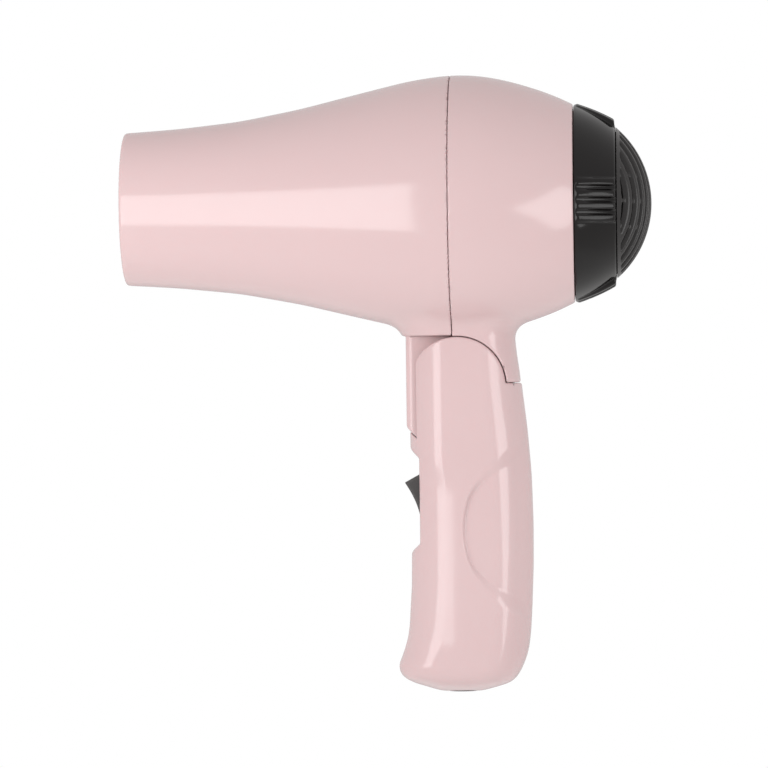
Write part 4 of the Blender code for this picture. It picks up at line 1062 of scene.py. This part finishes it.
@dataclass
class OutletGrille:
    """Rings and spokes inside the nozzle."""

    bar: float = 0.0012
    rim_half: float = 0.0007
    shares: tuple[float, float] = (0.35, 0.68)
    step: float = 0.0003

    def distance(self, x: Array, y: Array, z: Array) -> Array:
        """Distance to the grille.

        Args:
            x: Along the barrel.
            y: Across it.
            z: Rise in the frame.

        Returns:
            The distance, negative inside.
        """
        low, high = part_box("outlet_grille")
        radius = (high.y - low.y) / 2
        z = z - PIVOT.z - AXIS_RISE
        from_axis = np.sqrt(y * y + z * z)
        flat = np.abs(from_axis - radius + self.rim_half) - self.rim_half
        for share in self.shares:
            flat = joined(flat, np.abs(from_axis - radius * share) - self.bar / 2, SOFT_EDGE)
        for across in (y, z):
            spoke = np.maximum(np.abs(across) - self.bar / 2, from_axis - radius + self.rim_half)
            flat = joined(flat, spoke, SOFT_EDGE)
        thick = np.abs(x - (low.x + high.x) / 2) - (high.x - low.x) / 2
        return shared(flat, thick, SMALL_EDGE)

    def build(self, black: bpy.types.Material, slot: str) -> None:
        """Makes the grille.

        Args:
            black: Its material.
            slot: Its slot in the record; not used.
        """
        low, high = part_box("outlet_grille")
        made = Skin(self.distance, tuple(low), tuple(high), self.step).mesh("outlet_grille_skin")
        put(made, Body.HOUSING, black, ["outlet_grille"])


# ---- Rear cap ---------------------------------------------------------------------------------
@dataclass
class RearCap:
    """Black collar with its finger ridges, slatted dome and woven lint screen."""

    front: float = 0.0355
    rear: float = 0.0480
    lean: float = 0.87
    end_edge: float = 0.0009
    front_radius: float = 0.0298
    rear_radius: float = 0.0229
    bulge: float = 0.0006
    wall: float = 0.0016
    skirt_length: float = 0.0045
    skirt_radius: float = 0.0275
    skirt_wall: float = 0.0014
    ridge_pitch: float = 0.0036
    ridge_width: float = 0.0022
    ridge_start: float = 0.0364
    ridge_top: float = 0.0248
    ridge_low: float = 0.0004
    ridge_curve: float = 1.3
    radial_lean: float = 0.9
    ridge_depth: float = 0.004
    ridge_end: float = 0.0003
    skirt_overlap: float = 0.001
    dome_radius: float = 0.0297
    dome_wall: float = 0.0018
    dome_front: float = 0.0481
    rim_radius: float = 0.0226
    rim_width: float = 0.0013
    spigot: float = 0.0210
    spigot_inset: float = 0.0004
    spigot_half_wall: float = 0.0005
    spigot_middle: float = 0.0012
    spigot_half_length: float = 0.0018
    slat_width: float = 0.0014
    bars: tuple[float, ...] = (-0.0077, 0.0, 0.0077)
    bar_half: float = 0.0006
    bar_recess: float = 0.0010
    across: float = 0.0302
    dome_across: float = 0.0230
    dome_end: float = 0.0586
    dome_overlap: float = 0.003
    step: float = 0.00034
    dome_step: float = 0.00029
    wire_pitch: float = 0.0013
    wire_radius: float = 0.00016
    wire_sides: int = 6
    wire_wave: float = 0.9
    frame_cover: float = 0.0008
    frame_inner: float = 0.0188

    def _from_axis(self, y: Array, z: Array) -> tuple[Array, Array]:
        """Height above the barrel's axis, and distance from it."""
        z = z - PIVOT.z - AXIS_RISE
        return z, np.sqrt(y * y + z * z)

    def collar(self, x: Array, y: Array, z: Array) -> Array:
        """Distance to the collar.

        Args:
            x: Along the barrel.
            y: Across it.
            z: Rise in the frame.

        Returns:
            The distance, negative inside.
        """
        z, radial = self._from_axis(y, z)
        share = np.clip((x - self.front) / (self.rear - self.front), -0.2, 1.2)
        wide = self.front_radius + (self.rear_radius - self.front_radius) * share
        wide = wide + 4 * self.bulge * share * (1 - share)
        outer = (radial - wide) * self.lean
        body = shared(outer, np.maximum(self.front - x, x - self.rear), self.end_edge)
        drop = np.clip((x - self.ridge_start) / (self.rear - self.ridge_start), 0, 1)
        growth = self.ridge_top - self.rear_radius - self.ridge_low
        top = wide + self.ridge_low + growth * drop**self.ridge_curve
        for across, up in ((y, z), (z, y)):
            at = np.abs(across)
            nearest = np.minimum(np.abs(at - self.ridge_pitch / 2),
                                 np.abs(at - self.ridge_pitch * 1.5))
            ridge = shared(nearest - self.ridge_width / 2, (radial - top) * self.radial_lean,
                           ROUND_EDGE)
            ridge = np.maximum(ridge, self.rear_radius - self.ridge_depth - np.abs(up))
            ends = np.maximum(self.ridge_start - x, x - self.rear + self.ridge_end)
            ridge = shared(ridge, ends, SOFT_EDGE)
            body = joined(body, ridge, SOFT_EDGE)
        skirt = np.maximum(radial - self.skirt_radius, self.front - self.skirt_length - x)
        body = np.minimum(body, np.maximum(skirt, x - self.front - self.skirt_overlap))
        bore = self.skirt_radius - self.skirt_wall
        hollow = radial - np.where(x < self.front, bore, np.minimum(wide - self.wall, bore))
        return without(body, hollow * self.radial_lean, FINE_EDGE)

    def grille(self, x: Array, y: Array, z: Array) -> Array:
        """Distance to the slatted dome.

        Args:
            x: Along the barrel.
            y: Across it.
            z: Rise in the frame.

        Returns:
            The distance, negative inside.
        """
        z, radial = self._from_axis(y, z)
        centre = self.dome_front - math.sqrt(self.dome_radius**2 - self.rim_radius**2)
        sphere = np.sqrt((x - centre) ** 2 + radial * radial)
        dome = np.abs(sphere - self.dome_radius + self.dome_wall / 2) - self.dome_wall / 2
        pitch = self.ridge_pitch
        away = np.abs(y - pitch * np.round(y / pitch))
        slats = away - self.slat_width / 2
        bars = np.abs(z[None] - np.array(self.bars).reshape(-1, *([1] * z.ndim))).min(axis=0)
        recess = sphere - self.dome_radius + self.bar_recess
        bars = shared(bars - self.bar_half, recess, CRISP_EDGE)
        rim = self.rim_radius - self.rim_width - radial
        open_part = joined(joined(slats, bars, CRISP_EDGE), rim, SMALL_EDGE)
        body = shared(dome, open_part, SMALL_EDGE)
        body = np.maximum(body, self.dome_front - x)
        ring = np.abs(radial - self.spigot + self.spigot_inset) - self.spigot_half_wall
        length = np.abs(x - self.dome_front + self.spigot_middle) - self.spigot_half_length
        return joined(body, shared(ring, length, FINE_EDGE), CRISP_EDGE)

    def screen(self) -> bpy.types.Object:
        """Weaves the lint screen from crossing wires in a flat ring.

        Returns:
            The screen.
        """
        low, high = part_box("lint_filter")
        radius, middle = (high.y - low.y) / 2, (low.x + high.x) / 2
        pitch, thick, sides = self.wire_pitch, self.wire_radius, self.wire_sides
        points: list[Point] = []
        faces: list[tuple[int, ...]] = []
        lines = range(-int(radius / pitch), int(radius / pitch) + 1)
        for across_wire in (False, True):
            for number in lines:
                place = number * pitch
                reach = math.sqrt(max(0.0, (radius - self.frame_cover) ** 2 - place * place))
                if reach < pitch:
                    continue
                steps = max(4, int(reach * 2 / (pitch / 2)))
                first = len(points)
                for i in range(steps + 1):
                    along = -reach + 2 * reach * i / steps
                    phase = math.pi * (along / pitch + number + (1 if across_wire else 0))
                    out = thick * self.wire_wave * math.cos(phase)
                    for turn in range(sides):
                        angle = 2 * math.pi / sides * turn
                        side, lift = thick * math.cos(angle), out + thick * math.sin(angle)
                        spot = (along, place + side) if across_wire else (place + side, along)
                        points.append((middle + lift, spot[0], PIVOT.z + AXIS_RISE + spot[1]))
                for i in range(steps):
                    for turn in range(sides):
                        a = first + i * sides + turn
                        b = first + i * sides + (turn + 1) % sides
                        quad = (a, b, b + sides, a + sides)
                        faces.append(quad if across_wire else (b, a, a + sides, b + sides))
        self._ring(points, faces, radius, (low.x, high.x))
        made = bpy.data.meshes.new("lint_screen_weave")
        made.from_pydata(points, [], faces)
        made.shade_smooth()
        piece = bpy.data.objects.new("lint_screen_weave", made)
        bpy.context.scene.collection.objects.link(piece)
        return piece

    def _ring(self, points: list[Point], faces: list[tuple[int, ...]], radius: float,
              ends: tuple[float, float]) -> None:
        """Adds the screen's rounded frame.

        Args:
            points: Points so far.
            faces: Faces so far.
            radius: Its outer radius.
            ends: Its front and rear face.
        """
        count, sides, width = 96, 12, radius - self.frame_inner
        first = len(points)
        half = (ends[1] - ends[0]) / 2
        for i in range(count):
            turn = 2 * math.pi * i / count
            for j in range(sides):
                angle = 2 * math.pi * j / sides
                flat = [math.copysign(abs(v) ** 0.5, v) for v in (math.cos(angle), math.sin(angle))]
                out = radius - width / 2 + flat[0] * width / 2
                points.append((ends[0] + half + flat[1] * half, out * math.sin(turn),
                               PIVOT.z + AXIS_RISE + out * math.cos(turn)))
        for i in range(count):
            for j in range(sides):
                a, b = first + i * sides + j, first + i * sides + (j + 1) % sides
                c, d = [first + (k - first + sides) % (count * sides) for k in (a, b)]
                faces.append((a, b, d, c))

    def build(self, black: bpy.types.Material, satin: bpy.types.Material, wire: bpy.types.Material,
              palette: Palette) -> None:
        """Makes the collar, the dome and the screen.

        Args:
            black: Material of the collar.
            satin: Material of the dome.
            wire: Material of the screen.
            palette: Finishes, for their slots; not used.
        """
        centre = PIVOT.z + AXIS_RISE
        start = self.front - self.skirt_length
        made = Skin(self.collar, (start, -self.across, centre - self.across),
                    (self.rear, self.across, centre + self.across),
                    self.step).mesh("rear_collar_skin")
        put(made, Body.REAR_CAP, black, ["rear_collar"])
        low = (self.dome_front - self.dome_overlap, -self.dome_across, centre - self.dome_across)
        high = (self.dome_end, self.dome_across, centre + self.dome_across)
        made = Skin(self.grille, low, high, self.dome_step).mesh("inlet_grille_skin")
        put(made, Body.REAR_CAP, satin, ["inlet_grille"])
        put(self.screen(), Body.REAR_CAP, wire, ["lint_filter"])


# ---- Handle -----------------------------------------------------------------------------------
@dataclass(frozen=True)
class Screw:
    """A round-headed screw with a cross recess, driven in from the far side."""

    along: float
    drop: float
    head_radius: float = 0.0026
    head_low: float = 0.0079
    head_high: float = 0.0096
    crown: float = 60.0
    shank_radius: float = 0.0013
    shank_low: float = 0.0040
    shank_high: float = 0.0085
    cross_half: float = 0.00035
    cross_reach: float = 0.0015
    cross_floor: float = 0.0085
    step: float = 0.00016

    def distance(self, x: Array, y: Array, z: Array) -> Array:
        """Distance to the screw.

        Args:
            x: Along the barrel.
            y: Across it.
            z: Rise in the frame.

        Returns:
            The distance, negative inside.
        """
        x, z = x - self.along, z - PIVOT.z + self.drop
        radial = np.sqrt(x * x + z * z)
        crown = y - self.head_high + radial * radial * self.crown
        head = shared(radial - self.head_radius, np.maximum(crown, self.head_low - y), FINE_EDGE)
        shank = np.maximum(radial - self.shank_radius,
                           np.maximum(y - self.shank_high, self.shank_low - y))
        both = np.minimum(head, shank)
        for across, other in ((x, z), (z, x)):
            cross = np.maximum(np.abs(across) - self.cross_half,
                               np.abs(other) - self.cross_reach)
            both = without(both, np.maximum(cross, self.cross_floor - y), HAIR_EDGE)
        return both

    def skin(self) -> Skin:
        """The screw's field with its box.

        Returns:
            The field, ready to be made into a mesh.
        """
        low, high = upright(
            (self.along - self.head_radius, self.shank_low, -self.drop - self.head_radius),
            (self.along + self.head_radius, self.head_high, -self.drop + self.head_radius))
        return Skin(self.distance, low, high, self.step)


@dataclass
class Handle:
    """Both pink halves of the handle and their screws."""

    front_edge: Outline = Outline((
        (-0.0930, -0.0210), (-0.0870, -0.0199), (-0.0839, -0.0190), (-0.0816, -0.0180),
        (-0.0792, -0.0171), (-0.0756, -0.0160), (-0.0716, -0.0154), (-0.0666, -0.0151),
        (-0.0600, -0.01465), (-0.0500, -0.0145), (-0.0330, -0.0145), (0.0, -0.0146),
        (0.0160, -0.0146)), 0.0009)
    rear_edge: Outline = Outline((
        (-0.0930, 0.0176), (-0.0870, 0.0186), (-0.0844, 0.0192), (-0.0820, 0.0197),
        (-0.0796, 0.0202), (-0.0748, 0.0209), (-0.0676, 0.0214), (-0.0604, 0.0217),
        (-0.0532, 0.0220), (-0.0412, 0.0221), (-0.0340, 0.0219), (-0.0268, 0.0217),
        (-0.0220, 0.02135), (-0.0124, 0.02055), (-0.0004, 0.0191), (0.0160, 0.0180)), 0.0018)
    foot: Outline = Outline((
        (-0.0205, -0.0848), (-0.0184, -0.0866), (-0.0145, -0.0889), (-0.0062, -0.0914),
        (0.0, -0.0918), (0.0065, -0.0915), (0.0138, -0.0895), (0.0165, -0.0880),
        (0.0183, -0.0862), (0.0210, -0.0830)), 0.0012)
    half: float = 0.0145
    wall: float = 0.0022
    front_round: float = 0.0110
    rear_round: float = 0.0115
    cheek_radius: float = 0.0145
    slot_half: float = 0.0080
    catch_along: float = 0.0157
    swing: float = 0.0199
    split: float = 0.00014
    lip: float = 0.0008
    lip_inset: float = 0.0011
    lip_root: float = 0.0020
    lip_room: float = 0.0001
    recess_top: float = 0.0189
    recess_bottom: float = 0.0498
    recess_floor: float = -0.0117
    recess_ramp: float = 0.0027
    front_face: float = 0.0146
    scoop_radius: float = 0.0284
    scoop_along: float = 0.0295
    scoop_drop: float = 0.0431
    scoop_depth: float = 0.0011
    scoop_edge: float = 0.0009
    scoop_fade: float = 0.0040
    scoop_end: tuple[float, float] = (0.009, 0.012)
    scoop_side: tuple[float, float] = (0.004, 0.006)
    crown: float = 0.0005
    crown_middle: float = 0.0035
    crown_reach: float = 0.016
    taper: float = 0.0013
    taper_front: tuple[float, float] = (0.0030, 0.0120)
    taper_top: tuple[float, float] = (0.0200, 0.0140)
    taper_foot: tuple[float, float] = (0.0850, 0.0100)
    bow_radius: float = 0.050
    foot_edge: float = 0.0038
    shoulder: float = 0.0006
    post_radius: float = 0.0038
    slot_turn: float = 320.0
    slot_floor: float = 0.0026
    cheek_room: float = 0.0022
    catch_half: float = 0.0011
    catch_across: float = 0.0073
    catch_depth: float = 0.0009
    window_half: float = 0.0063
    window_above: float = 0.0079
    window_below: float = 0.0075
    cord_along: float = 0.0005
    cord_radius: float = 0.0046
    cord_rise: float = 0.083
    screws: tuple[tuple[float, float], ...] = (
        (-0.0045, 0.0555), (0.0130, 0.0765), (-0.0075, 0.0765))
    seat_radius: float = 0.0029
    seat_across: float = 0.0075
    foremost: float = -0.0192
    rearmost: float = 0.0222
    lowest: float = -0.0919
    highest: float = 0.0146
    step: float = 0.00046

    def scooped(self, x: Array, z: Array) -> Array:
        """How deep the finger scoop is at a place of the side.

        Args:
            x: Along from the pivot.
            z: Rise above the pivot.

        Returns:
            The depth, nought outside the scoop.
        """
        from_middle = np.sqrt((x - self.scoop_along) ** 2 + (z + self.scoop_drop) ** 2)
        towards_end = smooth_step(
            (np.abs(z + self.scoop_drop) - self.scoop_end[0]) / self.scoop_end[1])
        soft = self.scoop_edge + self.scoop_fade * towards_end
        return self.scoop_depth * smooth_step((self.scoop_radius - from_middle) / soft)

    def column(self, x: Array, y: Array, z: Array, inset: float, scoop: bool) -> Array:
        """Distance to the handle's outer form.

        Args:
            x: Along from the pivot.
            y: Across.
            z: Rise above the pivot.
            inset: How much smaller it is.
            scoop: Whether it has its finger scoops.

        Returns:
            The distance.
        """
        front, rear = self.front_edge.at(z) + inset, self.rear_edge.at(z) - inset
        half = self.half - inset - self.crown * ((x - self.crown_middle) / self.crown_reach) ** 2
        forward = smooth_step((self.taper_front[0] - x) / self.taper_front[1])
        below = smooth_step((-self.taper_top[0] - z) / self.taper_top[1])
        above = smooth_step((z + self.taper_foot[0]) / self.taper_foot[1])
        half = half - self.taper * forward * below * above
        side = oval_distance(x, y, front, rear, half, self.front_round, self.rear_round)
        if scoop:
            sideways = (np.abs(y) - self.scoop_side[0]) / self.scoop_side[1]
            side = side + self.scooped(x, z) * smooth_step(sideways)
        slope = self.foot.slope(x, 0.0004)
        bowed = self.foot.at(x) + y * y / self.bow_radius
        bottom = (bowed + inset - z) / np.sqrt(1 + slope * slope)
        return shared(side, bottom, self.foot_edge)

    def body(self, x: Array, y: Array, z: Array) -> Array:
        """Distance to both halves as one.

        Args:
            x: Along the barrel.
            y: Across it.
            z: Rise in the frame.

        Returns:
            The distance, negative inside.
        """
        z = z - PIVOT.z
        radial = np.sqrt(x * x + z * z)
        body = self.column(x, y, z, 0.0, True)
        body = shared(body, np.minimum(z - self.shoulder, radial - self.cheek_radius), ROUND_EDGE)
        body = without(body, polygon_distance(x, z, self.recess(0.0)), FULL_EDGE)
        hollow = self.column(x, y, z, self.wall, False)
        hollow = np.maximum(hollow, z + self.swing - self.slot_floor)
        hollow = without(hollow, polygon_distance(x, z, self.recess(self.wall)), FINE_EDGE)
        for along, drop in self.screws:
            post = np.sqrt((x - along) ** 2 + (z + drop) ** 2)
            hollow = without(hollow, post - self.post_radius, SMALL_EDGE)
        body = without(body, hollow, FINE_EDGE)
        body = without(body, self.hinge_slot(x, y, z), SMALL_EDGE)
        pin_x, pin_z = x - PIN.x, z + PIVOT.z - PIN.z
        window = np.maximum(pin_z - self.window_above, -self.window_below - pin_z)
        window = np.maximum(np.maximum(np.abs(y) - self.window_half, window), pin_x)
        body = without(body, window, SMALL_EDGE)
        hole = np.sqrt((x - self.cord_along) ** 2 + y * y) - self.cord_radius
        body = without(body, np.maximum(hole, z + self.cord_rise), ROUND_EDGE)
        for along, drop in self.screws:
            seat = np.sqrt((x - along) ** 2 + (z + drop) ** 2) - self.seat_radius
            body = without(body, np.maximum(seat, self.seat_across - y), SMALL_EDGE)
        return body

    def recess(self, wall: float) -> list[tuple[float, float]]:
        """Outline of the switch recess seen from the side, grown by a wall.

        Args:
            wall: How much larger it is than the recess itself.

        Returns:
            The outline's corners in order.
        """
        deep, face = self.recess_floor + wall, -self.front_face
        top, bottom = -self.recess_top, -self.recess_bottom
        return [(-FAR, top + wall), (face, top + wall), (deep, top - self.recess_ramp + wall),
                (deep, bottom + self.recess_ramp - wall), (face, bottom - wall),
                (-FAR, bottom - wall)]

    def hinge_slot(self, x: Array, y: Array, z: Array) -> Array:
        """Distance to the room that the tongue and the stop's catch need.

        Args:
            x: Along from the pivot.
            y: Across.
            z: Rise above the pivot.

        Returns:
            The distance, negative inside.
        """
        foot = 180 + math.degrees(math.acos(self.front_face / self.swing))
        outer = self.cheek_radius + self.cheek_room
        room = [(-FAR, FAR), (-FAR, self.swing * math.sin(math.radians(foot))),
                *arc(self.swing, foot, self.slot_turn, 24), *arc(outer, 330, 360, 8), (outer, FAR)]
        slot = np.maximum(polygon_distance(x, z, room), np.abs(y) - self.slot_half)
        catch = np.maximum(np.abs(x - self.catch_along) - self.catch_half,
                           np.abs(y) - self.catch_across)
        return np.minimum(slot, np.maximum(catch, -self.catch_depth - z))

    def near(self, x: Array, y: Array, z: Array) -> Array:
        """Distance to the half in front, with the lip that closes the parting line.

        Args:
            x: Along the barrel.
            y: Across it.
            z: Rise in the frame.

        Returns:
            The distance, negative inside.
        """
        body = self.body(x, y, z)
        core = self.column(x, y, z - PIVOT.z, self.lip_inset, False)
        lip = np.maximum(np.maximum(body, core), np.maximum(y - self.lip, -self.lip_root - y))
        return np.minimum(shared(body, y + self.split, CRISP_EDGE), lip)

    def far(self, x: Array, y: Array, z: Array) -> Array:
        """Distance to the half behind, which holds the screws.

        Args:
            x: Along the barrel.
            y: Across it.
            z: Rise in the frame.

        Returns:
            The distance, negative inside.
        """
        core = self.column(x, y, z - PIVOT.z, self.lip_inset - self.lip_room, False)
        rebate = np.maximum(core, y - self.lip - self.lip_room)
        return without(shared(self.body(x, y, z), self.split - y, CRISP_EDGE), rebate)

    def build(self, pink: bpy.types.Material, steel: bpy.types.Material, palette: Palette) -> None:
        """Makes the halves and the screws.

        Args:
            pink: Material of the halves.
            steel: Material of the screws.
            palette: Finishes, for their slots; not used.
        """
        low, high = upright((self.foremost, -self.half, self.lowest),
                            (self.rearmost, self.lip, self.highest))
        made = Skin(self.near, low, high, self.step).mesh("handle_near_skin")
        put(made, Body.HANDLE, pink, ["handle_near"])
        low, high = upright((self.foremost, self.split, self.lowest),
                            (self.rearmost, self.half, self.highest))
        made = Skin(self.far, low, high, self.step).mesh("handle_far_skin")
        put(made, Body.HANDLE, pink, ["handle_far"])
        for number, (along, drop) in enumerate(self.screws, 1):
            node = f"handle_screw_{number}"
            made = Screw(along, drop).skin().mesh(f"{node}_skin")
            put(made, Body.HANDLE, steel, [node])


@dataclass
class Rocker:
    """Three-position rocker with its dished face."""

    half: float = 0.0060
    radius: float = 0.0074
    tip_radius: float = 0.0088
    tip_turn: float = 151.7
    heel_radius: float = 0.0070
    heel_turn: float = 243.0
    heel_end: float = 265.0
    dip: tuple[float, float] = (-0.0041, -0.0012)
    face_share: float = 0.95
    back_along: float = 0.0020
    back_half: float = 0.0050
    drum_turns: tuple[float, float] = (95.0, 117.0)
    shrink: float = 0.00005
    step: float = 0.00024

    def distance(self, x: Array, y: Array, z: Array) -> Array:
        """Distance to the rocker.

        Args:
            x: Along the barrel.
            y: Across it.
            z: Rise in the frame.

        Returns:
            The distance, negative inside.
        """
        tip = np.array(arc(self.tip_radius, self.tip_turn, self.tip_turn, 0)[0])
        heel = np.array(arc(self.heel_radius, self.heel_turn, self.heel_turn, 0)[0])
        dip = np.array(self.dip)
        face = [tuple(tip * (1 - t) ** 2 + dip * 2 * t * (1 - t) + heel * t**2)
                for t in np.linspace(0, self.face_share, 16)]
        outline = [*face, *arc(self.heel_radius, self.heel_turn, self.heel_end, 4),
                   (self.back_along, -self.back_half), (self.back_along, self.back_half),
                   *arc(self.radius, *self.drum_turns, 5)]
        side = polygon_distance(x - PIN.x, z - PIN.z, outline)
        return shared(side, np.abs(y) - self.half, ROUND_EDGE) + self.shrink

    def build(self, grey: bpy.types.Material, slot: str) -> None:
        """Makes the rocker.

        Args:
            grey: Its material.
            slot: Its slot in the record; not used.
        """
        low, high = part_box("rocker")
        made = Skin(self.distance, tuple(low), tuple(high), self.step).mesh("rocker_skin")
        put(made, Body.ROCKER, grey, ["rocker"])


# ---- Inside -----------------------------------------------------------------------------------
@dataclass
class Inside:
    """Frame nodes that keep their shape and get a detailed finish."""

    palette: Palette = Palette()

    def finishes(self) -> dict[str, Moulded | Drawn]:
        """Which finish each kept node takes.

        Returns:
            The finish of each node by its name.
        """
        p = self.palette
        kept = {"fan_duct": p.duct, "motor_can": p.motor, "diode_board": p.board,
                "capacitor": p.capacitor, "mica_tube": p.mica, "heater_board_upright": p.mica,
                "heater_board_flat": p.mica, "heater_coil": p.wire, "thermostat": p.steel,
                "thermal_fuse": p.brass, "impeller": p.fan, "motor_shaft": p.steel,
                "pivot_pin": p.steel, "rocker_pin": p.steel, "switch_body": p.switch,
                "cord_gland": p.rubber, "dust_foam": p.foam, "cord_clamp": p.clamp,
                "lead_live": p.red_lead, "lead_neutral": p.blue_lead}
        kept |= {f"diode_{number}": p.diode for number in range(1, 5)}
        kept |= {f"terminal_{number}": p.brass for number in range(1, 4)}
        return kept

    def dress(self, effects: Effects, made: dict[str, bpy.types.Material]) -> None:
        """Gives each kept node its material.

        Args:
            effects: The shared groups.
            made: Materials so far by name, which this adds to.
        """
        for node, finish in self.finishes().items():
            if finish.name not in made:
                made[finish.name] = finish.material(effects)
            item = frame["nodes"][node]
            item.data.materials.clear()
            item.data.materials.append(made[finish.name])
            log.info("%s keeps its shape and takes %s", node, finish.name)


# ---- Studio -----------------------------------------------------------------------------------
def facing(direction: Vector, turn: float) -> Quaternion:
    """Rotation of something that looks along a direction, turned about it in degrees."""
    spin = Matrix.Rotation(math.radians(turn), 4, "Z").to_quaternion()
    return direction.to_track_quat("-Z", "Y") @ spin


@dataclass(frozen=True)
class Lamp:
    """A soft rectangular light."""

    name: str
    spot: Point
    aim: Point
    width: float
    height: float
    radiance: float
    turn: float = 0.0
    mirrored: bool = True

    def place(self) -> bpy.types.Object:
        """Makes the light, aimed along its direction.

        Returns:
            The light.
        """
        data = bpy.data.lights.new(self.name, "AREA")
        data.shape = "RECTANGLE"
        data.size, data.size_y = self.width, self.height
        data.energy = self.radiance * math.pi * self.width * self.height
        lamp = bpy.data.objects.new(self.name, data)
        lamp.location = self.spot
        lamp.rotation_mode = "QUATERNION"
        lamp.rotation_quaternion = facing(Vector(self.aim), self.turn)
        bpy.context.scene.collection.objects.link(lamp)
        lamp.visible_glossy = self.mirrored
        return lamp


@dataclass
class Studio:
    """Camera, soft lights, bright surroundings and a pale floor."""

    target: Point = (-0.0223, 0.0, 0.0557)
    distance: float = 1.46
    lens: float = 228.0
    azimuth: float = 2.8
    elevation: float = 0.0
    roll: float = -0.7
    ambient_low: float = 0.46
    ambient_high: float = 0.76
    floor_drop: float = 0.40
    floor_half: float = 1.4
    lamps: tuple[Lamp, ...] = (
        Lamp("left_front_softbox", (-0.255, -0.33, 0.085), (0.15, 1.0, 0.0), 0.24, 0.27, 2.95),
        Lamp("right_front_softbox", (0.42, -0.36, 0.055), (-0.9, 1.0, 0.0), 0.28, 0.28, 2.7, 45.0),
        Lamp("left_fill", (-0.46, -0.36, 0.04), (0.45, 0.35, 0.0), 0.36, 0.46, 1.25,
             mirrored=False),
        Lamp("right_fill", (0.60, -0.22, 0.08), (-1.0, 0.35, 0.0), 0.60, 0.80, 0.35,
             mirrored=False),
        Lamp("rear_fill", (-0.12, 0.80, 0.22), (0.12, -1.0, -0.2), 1.00, 0.60, 1.8,
             mirrored=False),
    )

    def camera(self) -> None:
        """Makes the camera and gives it to the scene."""
        a, e = math.radians(self.azimuth), math.radians(self.elevation)
        back = Vector((math.sin(a) * math.cos(e), -math.cos(a) * math.cos(e), math.sin(e)))
        data = bpy.data.cameras.new("camera")
        data.lens = self.lens
        data.sensor_width = 36.0
        data.clip_start, data.clip_end = 0.01, 20.0
        eye = bpy.data.objects.new("camera", data)
        eye.location = Vector(self.target) + back * self.distance
        eye.rotation_mode = "QUATERNION"
        eye.rotation_quaternion = facing(-back, self.roll)
        bpy.context.scene.collection.objects.link(eye)
        bpy.context.scene.camera = eye

    def surroundings(self) -> None:
        """White where the camera looks past the dryer, softer as light and in reflections."""
        world = bpy.data.worlds.new("studio")
        bpy.context.scene.world = world
        world.use_nodes = True
        tree = world.node_tree
        output = next(node for node in tree.nodes if node.type == "OUTPUT_WORLD")
        soft = next(node for node in tree.nodes if node.type == "BACKGROUND")
        soft.inputs["Color"].default_value = (1.0, 0.985, 0.98, 1.0)
        towards = tree.nodes.new("ShaderNodeTexCoord").outputs["Generated"]
        parts = tree.nodes.new("ShaderNodeSeparateXYZ")
        tree.links.new(towards, parts.inputs[0])
        level = tree.nodes.new("ShaderNodeMapRange")
        level.inputs["From Min"].default_value = -1.0
        level.inputs["From Max"].default_value = 1.0
        level.inputs["To Min"].default_value = self.ambient_low
        level.inputs["To Max"].default_value = self.ambient_high
        tree.links.new(parts.outputs["Z"], level.inputs["Value"])
        tree.links.new(level.outputs["Result"], soft.inputs["Strength"])
        white = tree.nodes.new("ShaderNodeBackground")
        white.inputs["Color"].default_value = (1.0, 1.0, 1.0, 1.0)
        path = tree.nodes.new("ShaderNodeLightPath")
        mix = tree.nodes.new("ShaderNodeMixShader")
        tree.links.new(path.outputs["Is Camera Ray"], mix.inputs["Fac"])
        tree.links.new(soft.outputs["Background"], mix.inputs[1])
        tree.links.new(white.outputs["Background"], mix.inputs[2])
        tree.links.new(mix.outputs["Shader"], output.inputs["Surface"])

    def floor(self) -> None:
        """A plain pale floor, well below the dryer."""
        size, height = self.floor_half, FRAME_BOX[0].z - self.floor_drop
        data = bpy.data.meshes.new("studio_floor")
        data.from_pydata([(-size, -size, height), (size, -size, height), (size, size, height),
                          (-size, size, height)], [], [(0, 1, 2, 3)])
        item = bpy.data.objects.new("studio_floor", data)
        bpy.context.scene.collection.objects.link(item)
        paint = bpy.data.materials.new("pale_floor")
        paint.use_nodes = True
        shader = next(node for node in paint.node_tree.nodes if node.type == "BSDF_PRINCIPLED")
        shader.inputs["Base Color"].default_value = (0.93, 0.93, 0.925, 1.0)
        shader.inputs["Roughness"].default_value = 0.9
        data.materials.append(paint)

    def build(self) -> None:
        """Makes everything round the dryer."""
        self.camera()
        self.surroundings()
        self.floor()
        for lamp in self.lamps:
            lamp.place()
            log.info("light %s placed", lamp.name)
        bpy.context.scene.view_settings.view_transform = "Standard"


def main() -> None:
    """Builds the dryer's looks, one sub-assembly after another."""
    logging.basicConfig(level=logging.INFO, format="%(name)s: %(message)s")
    effects = Effects()
    palette = Palette()
    made: dict[str, bpy.types.Material] = {}
    for finish in (palette.pink, palette.black, palette.grille, palette.screen, palette.outlet,
                   palette.rocker, palette.screw):
        made[finish.name] = finish.material(effects)
    HousingShells().build(made[palette.pink.name], palette.pink.slot)
    OutletGrille().build(made[palette.outlet.name], palette.outlet.slot)
    RearCap().build(made[palette.black.name], made[palette.grille.name],
                    made[palette.screen.name], palette)
    Handle().build(made[palette.pink.name], made[palette.screw.name], palette)
    Rocker().build(made[palette.rocker.name], palette.rocker.slot)
    Inside(palette).dress(effects, made)
    Studio().build()


if __name__ == "__main__":
    main()
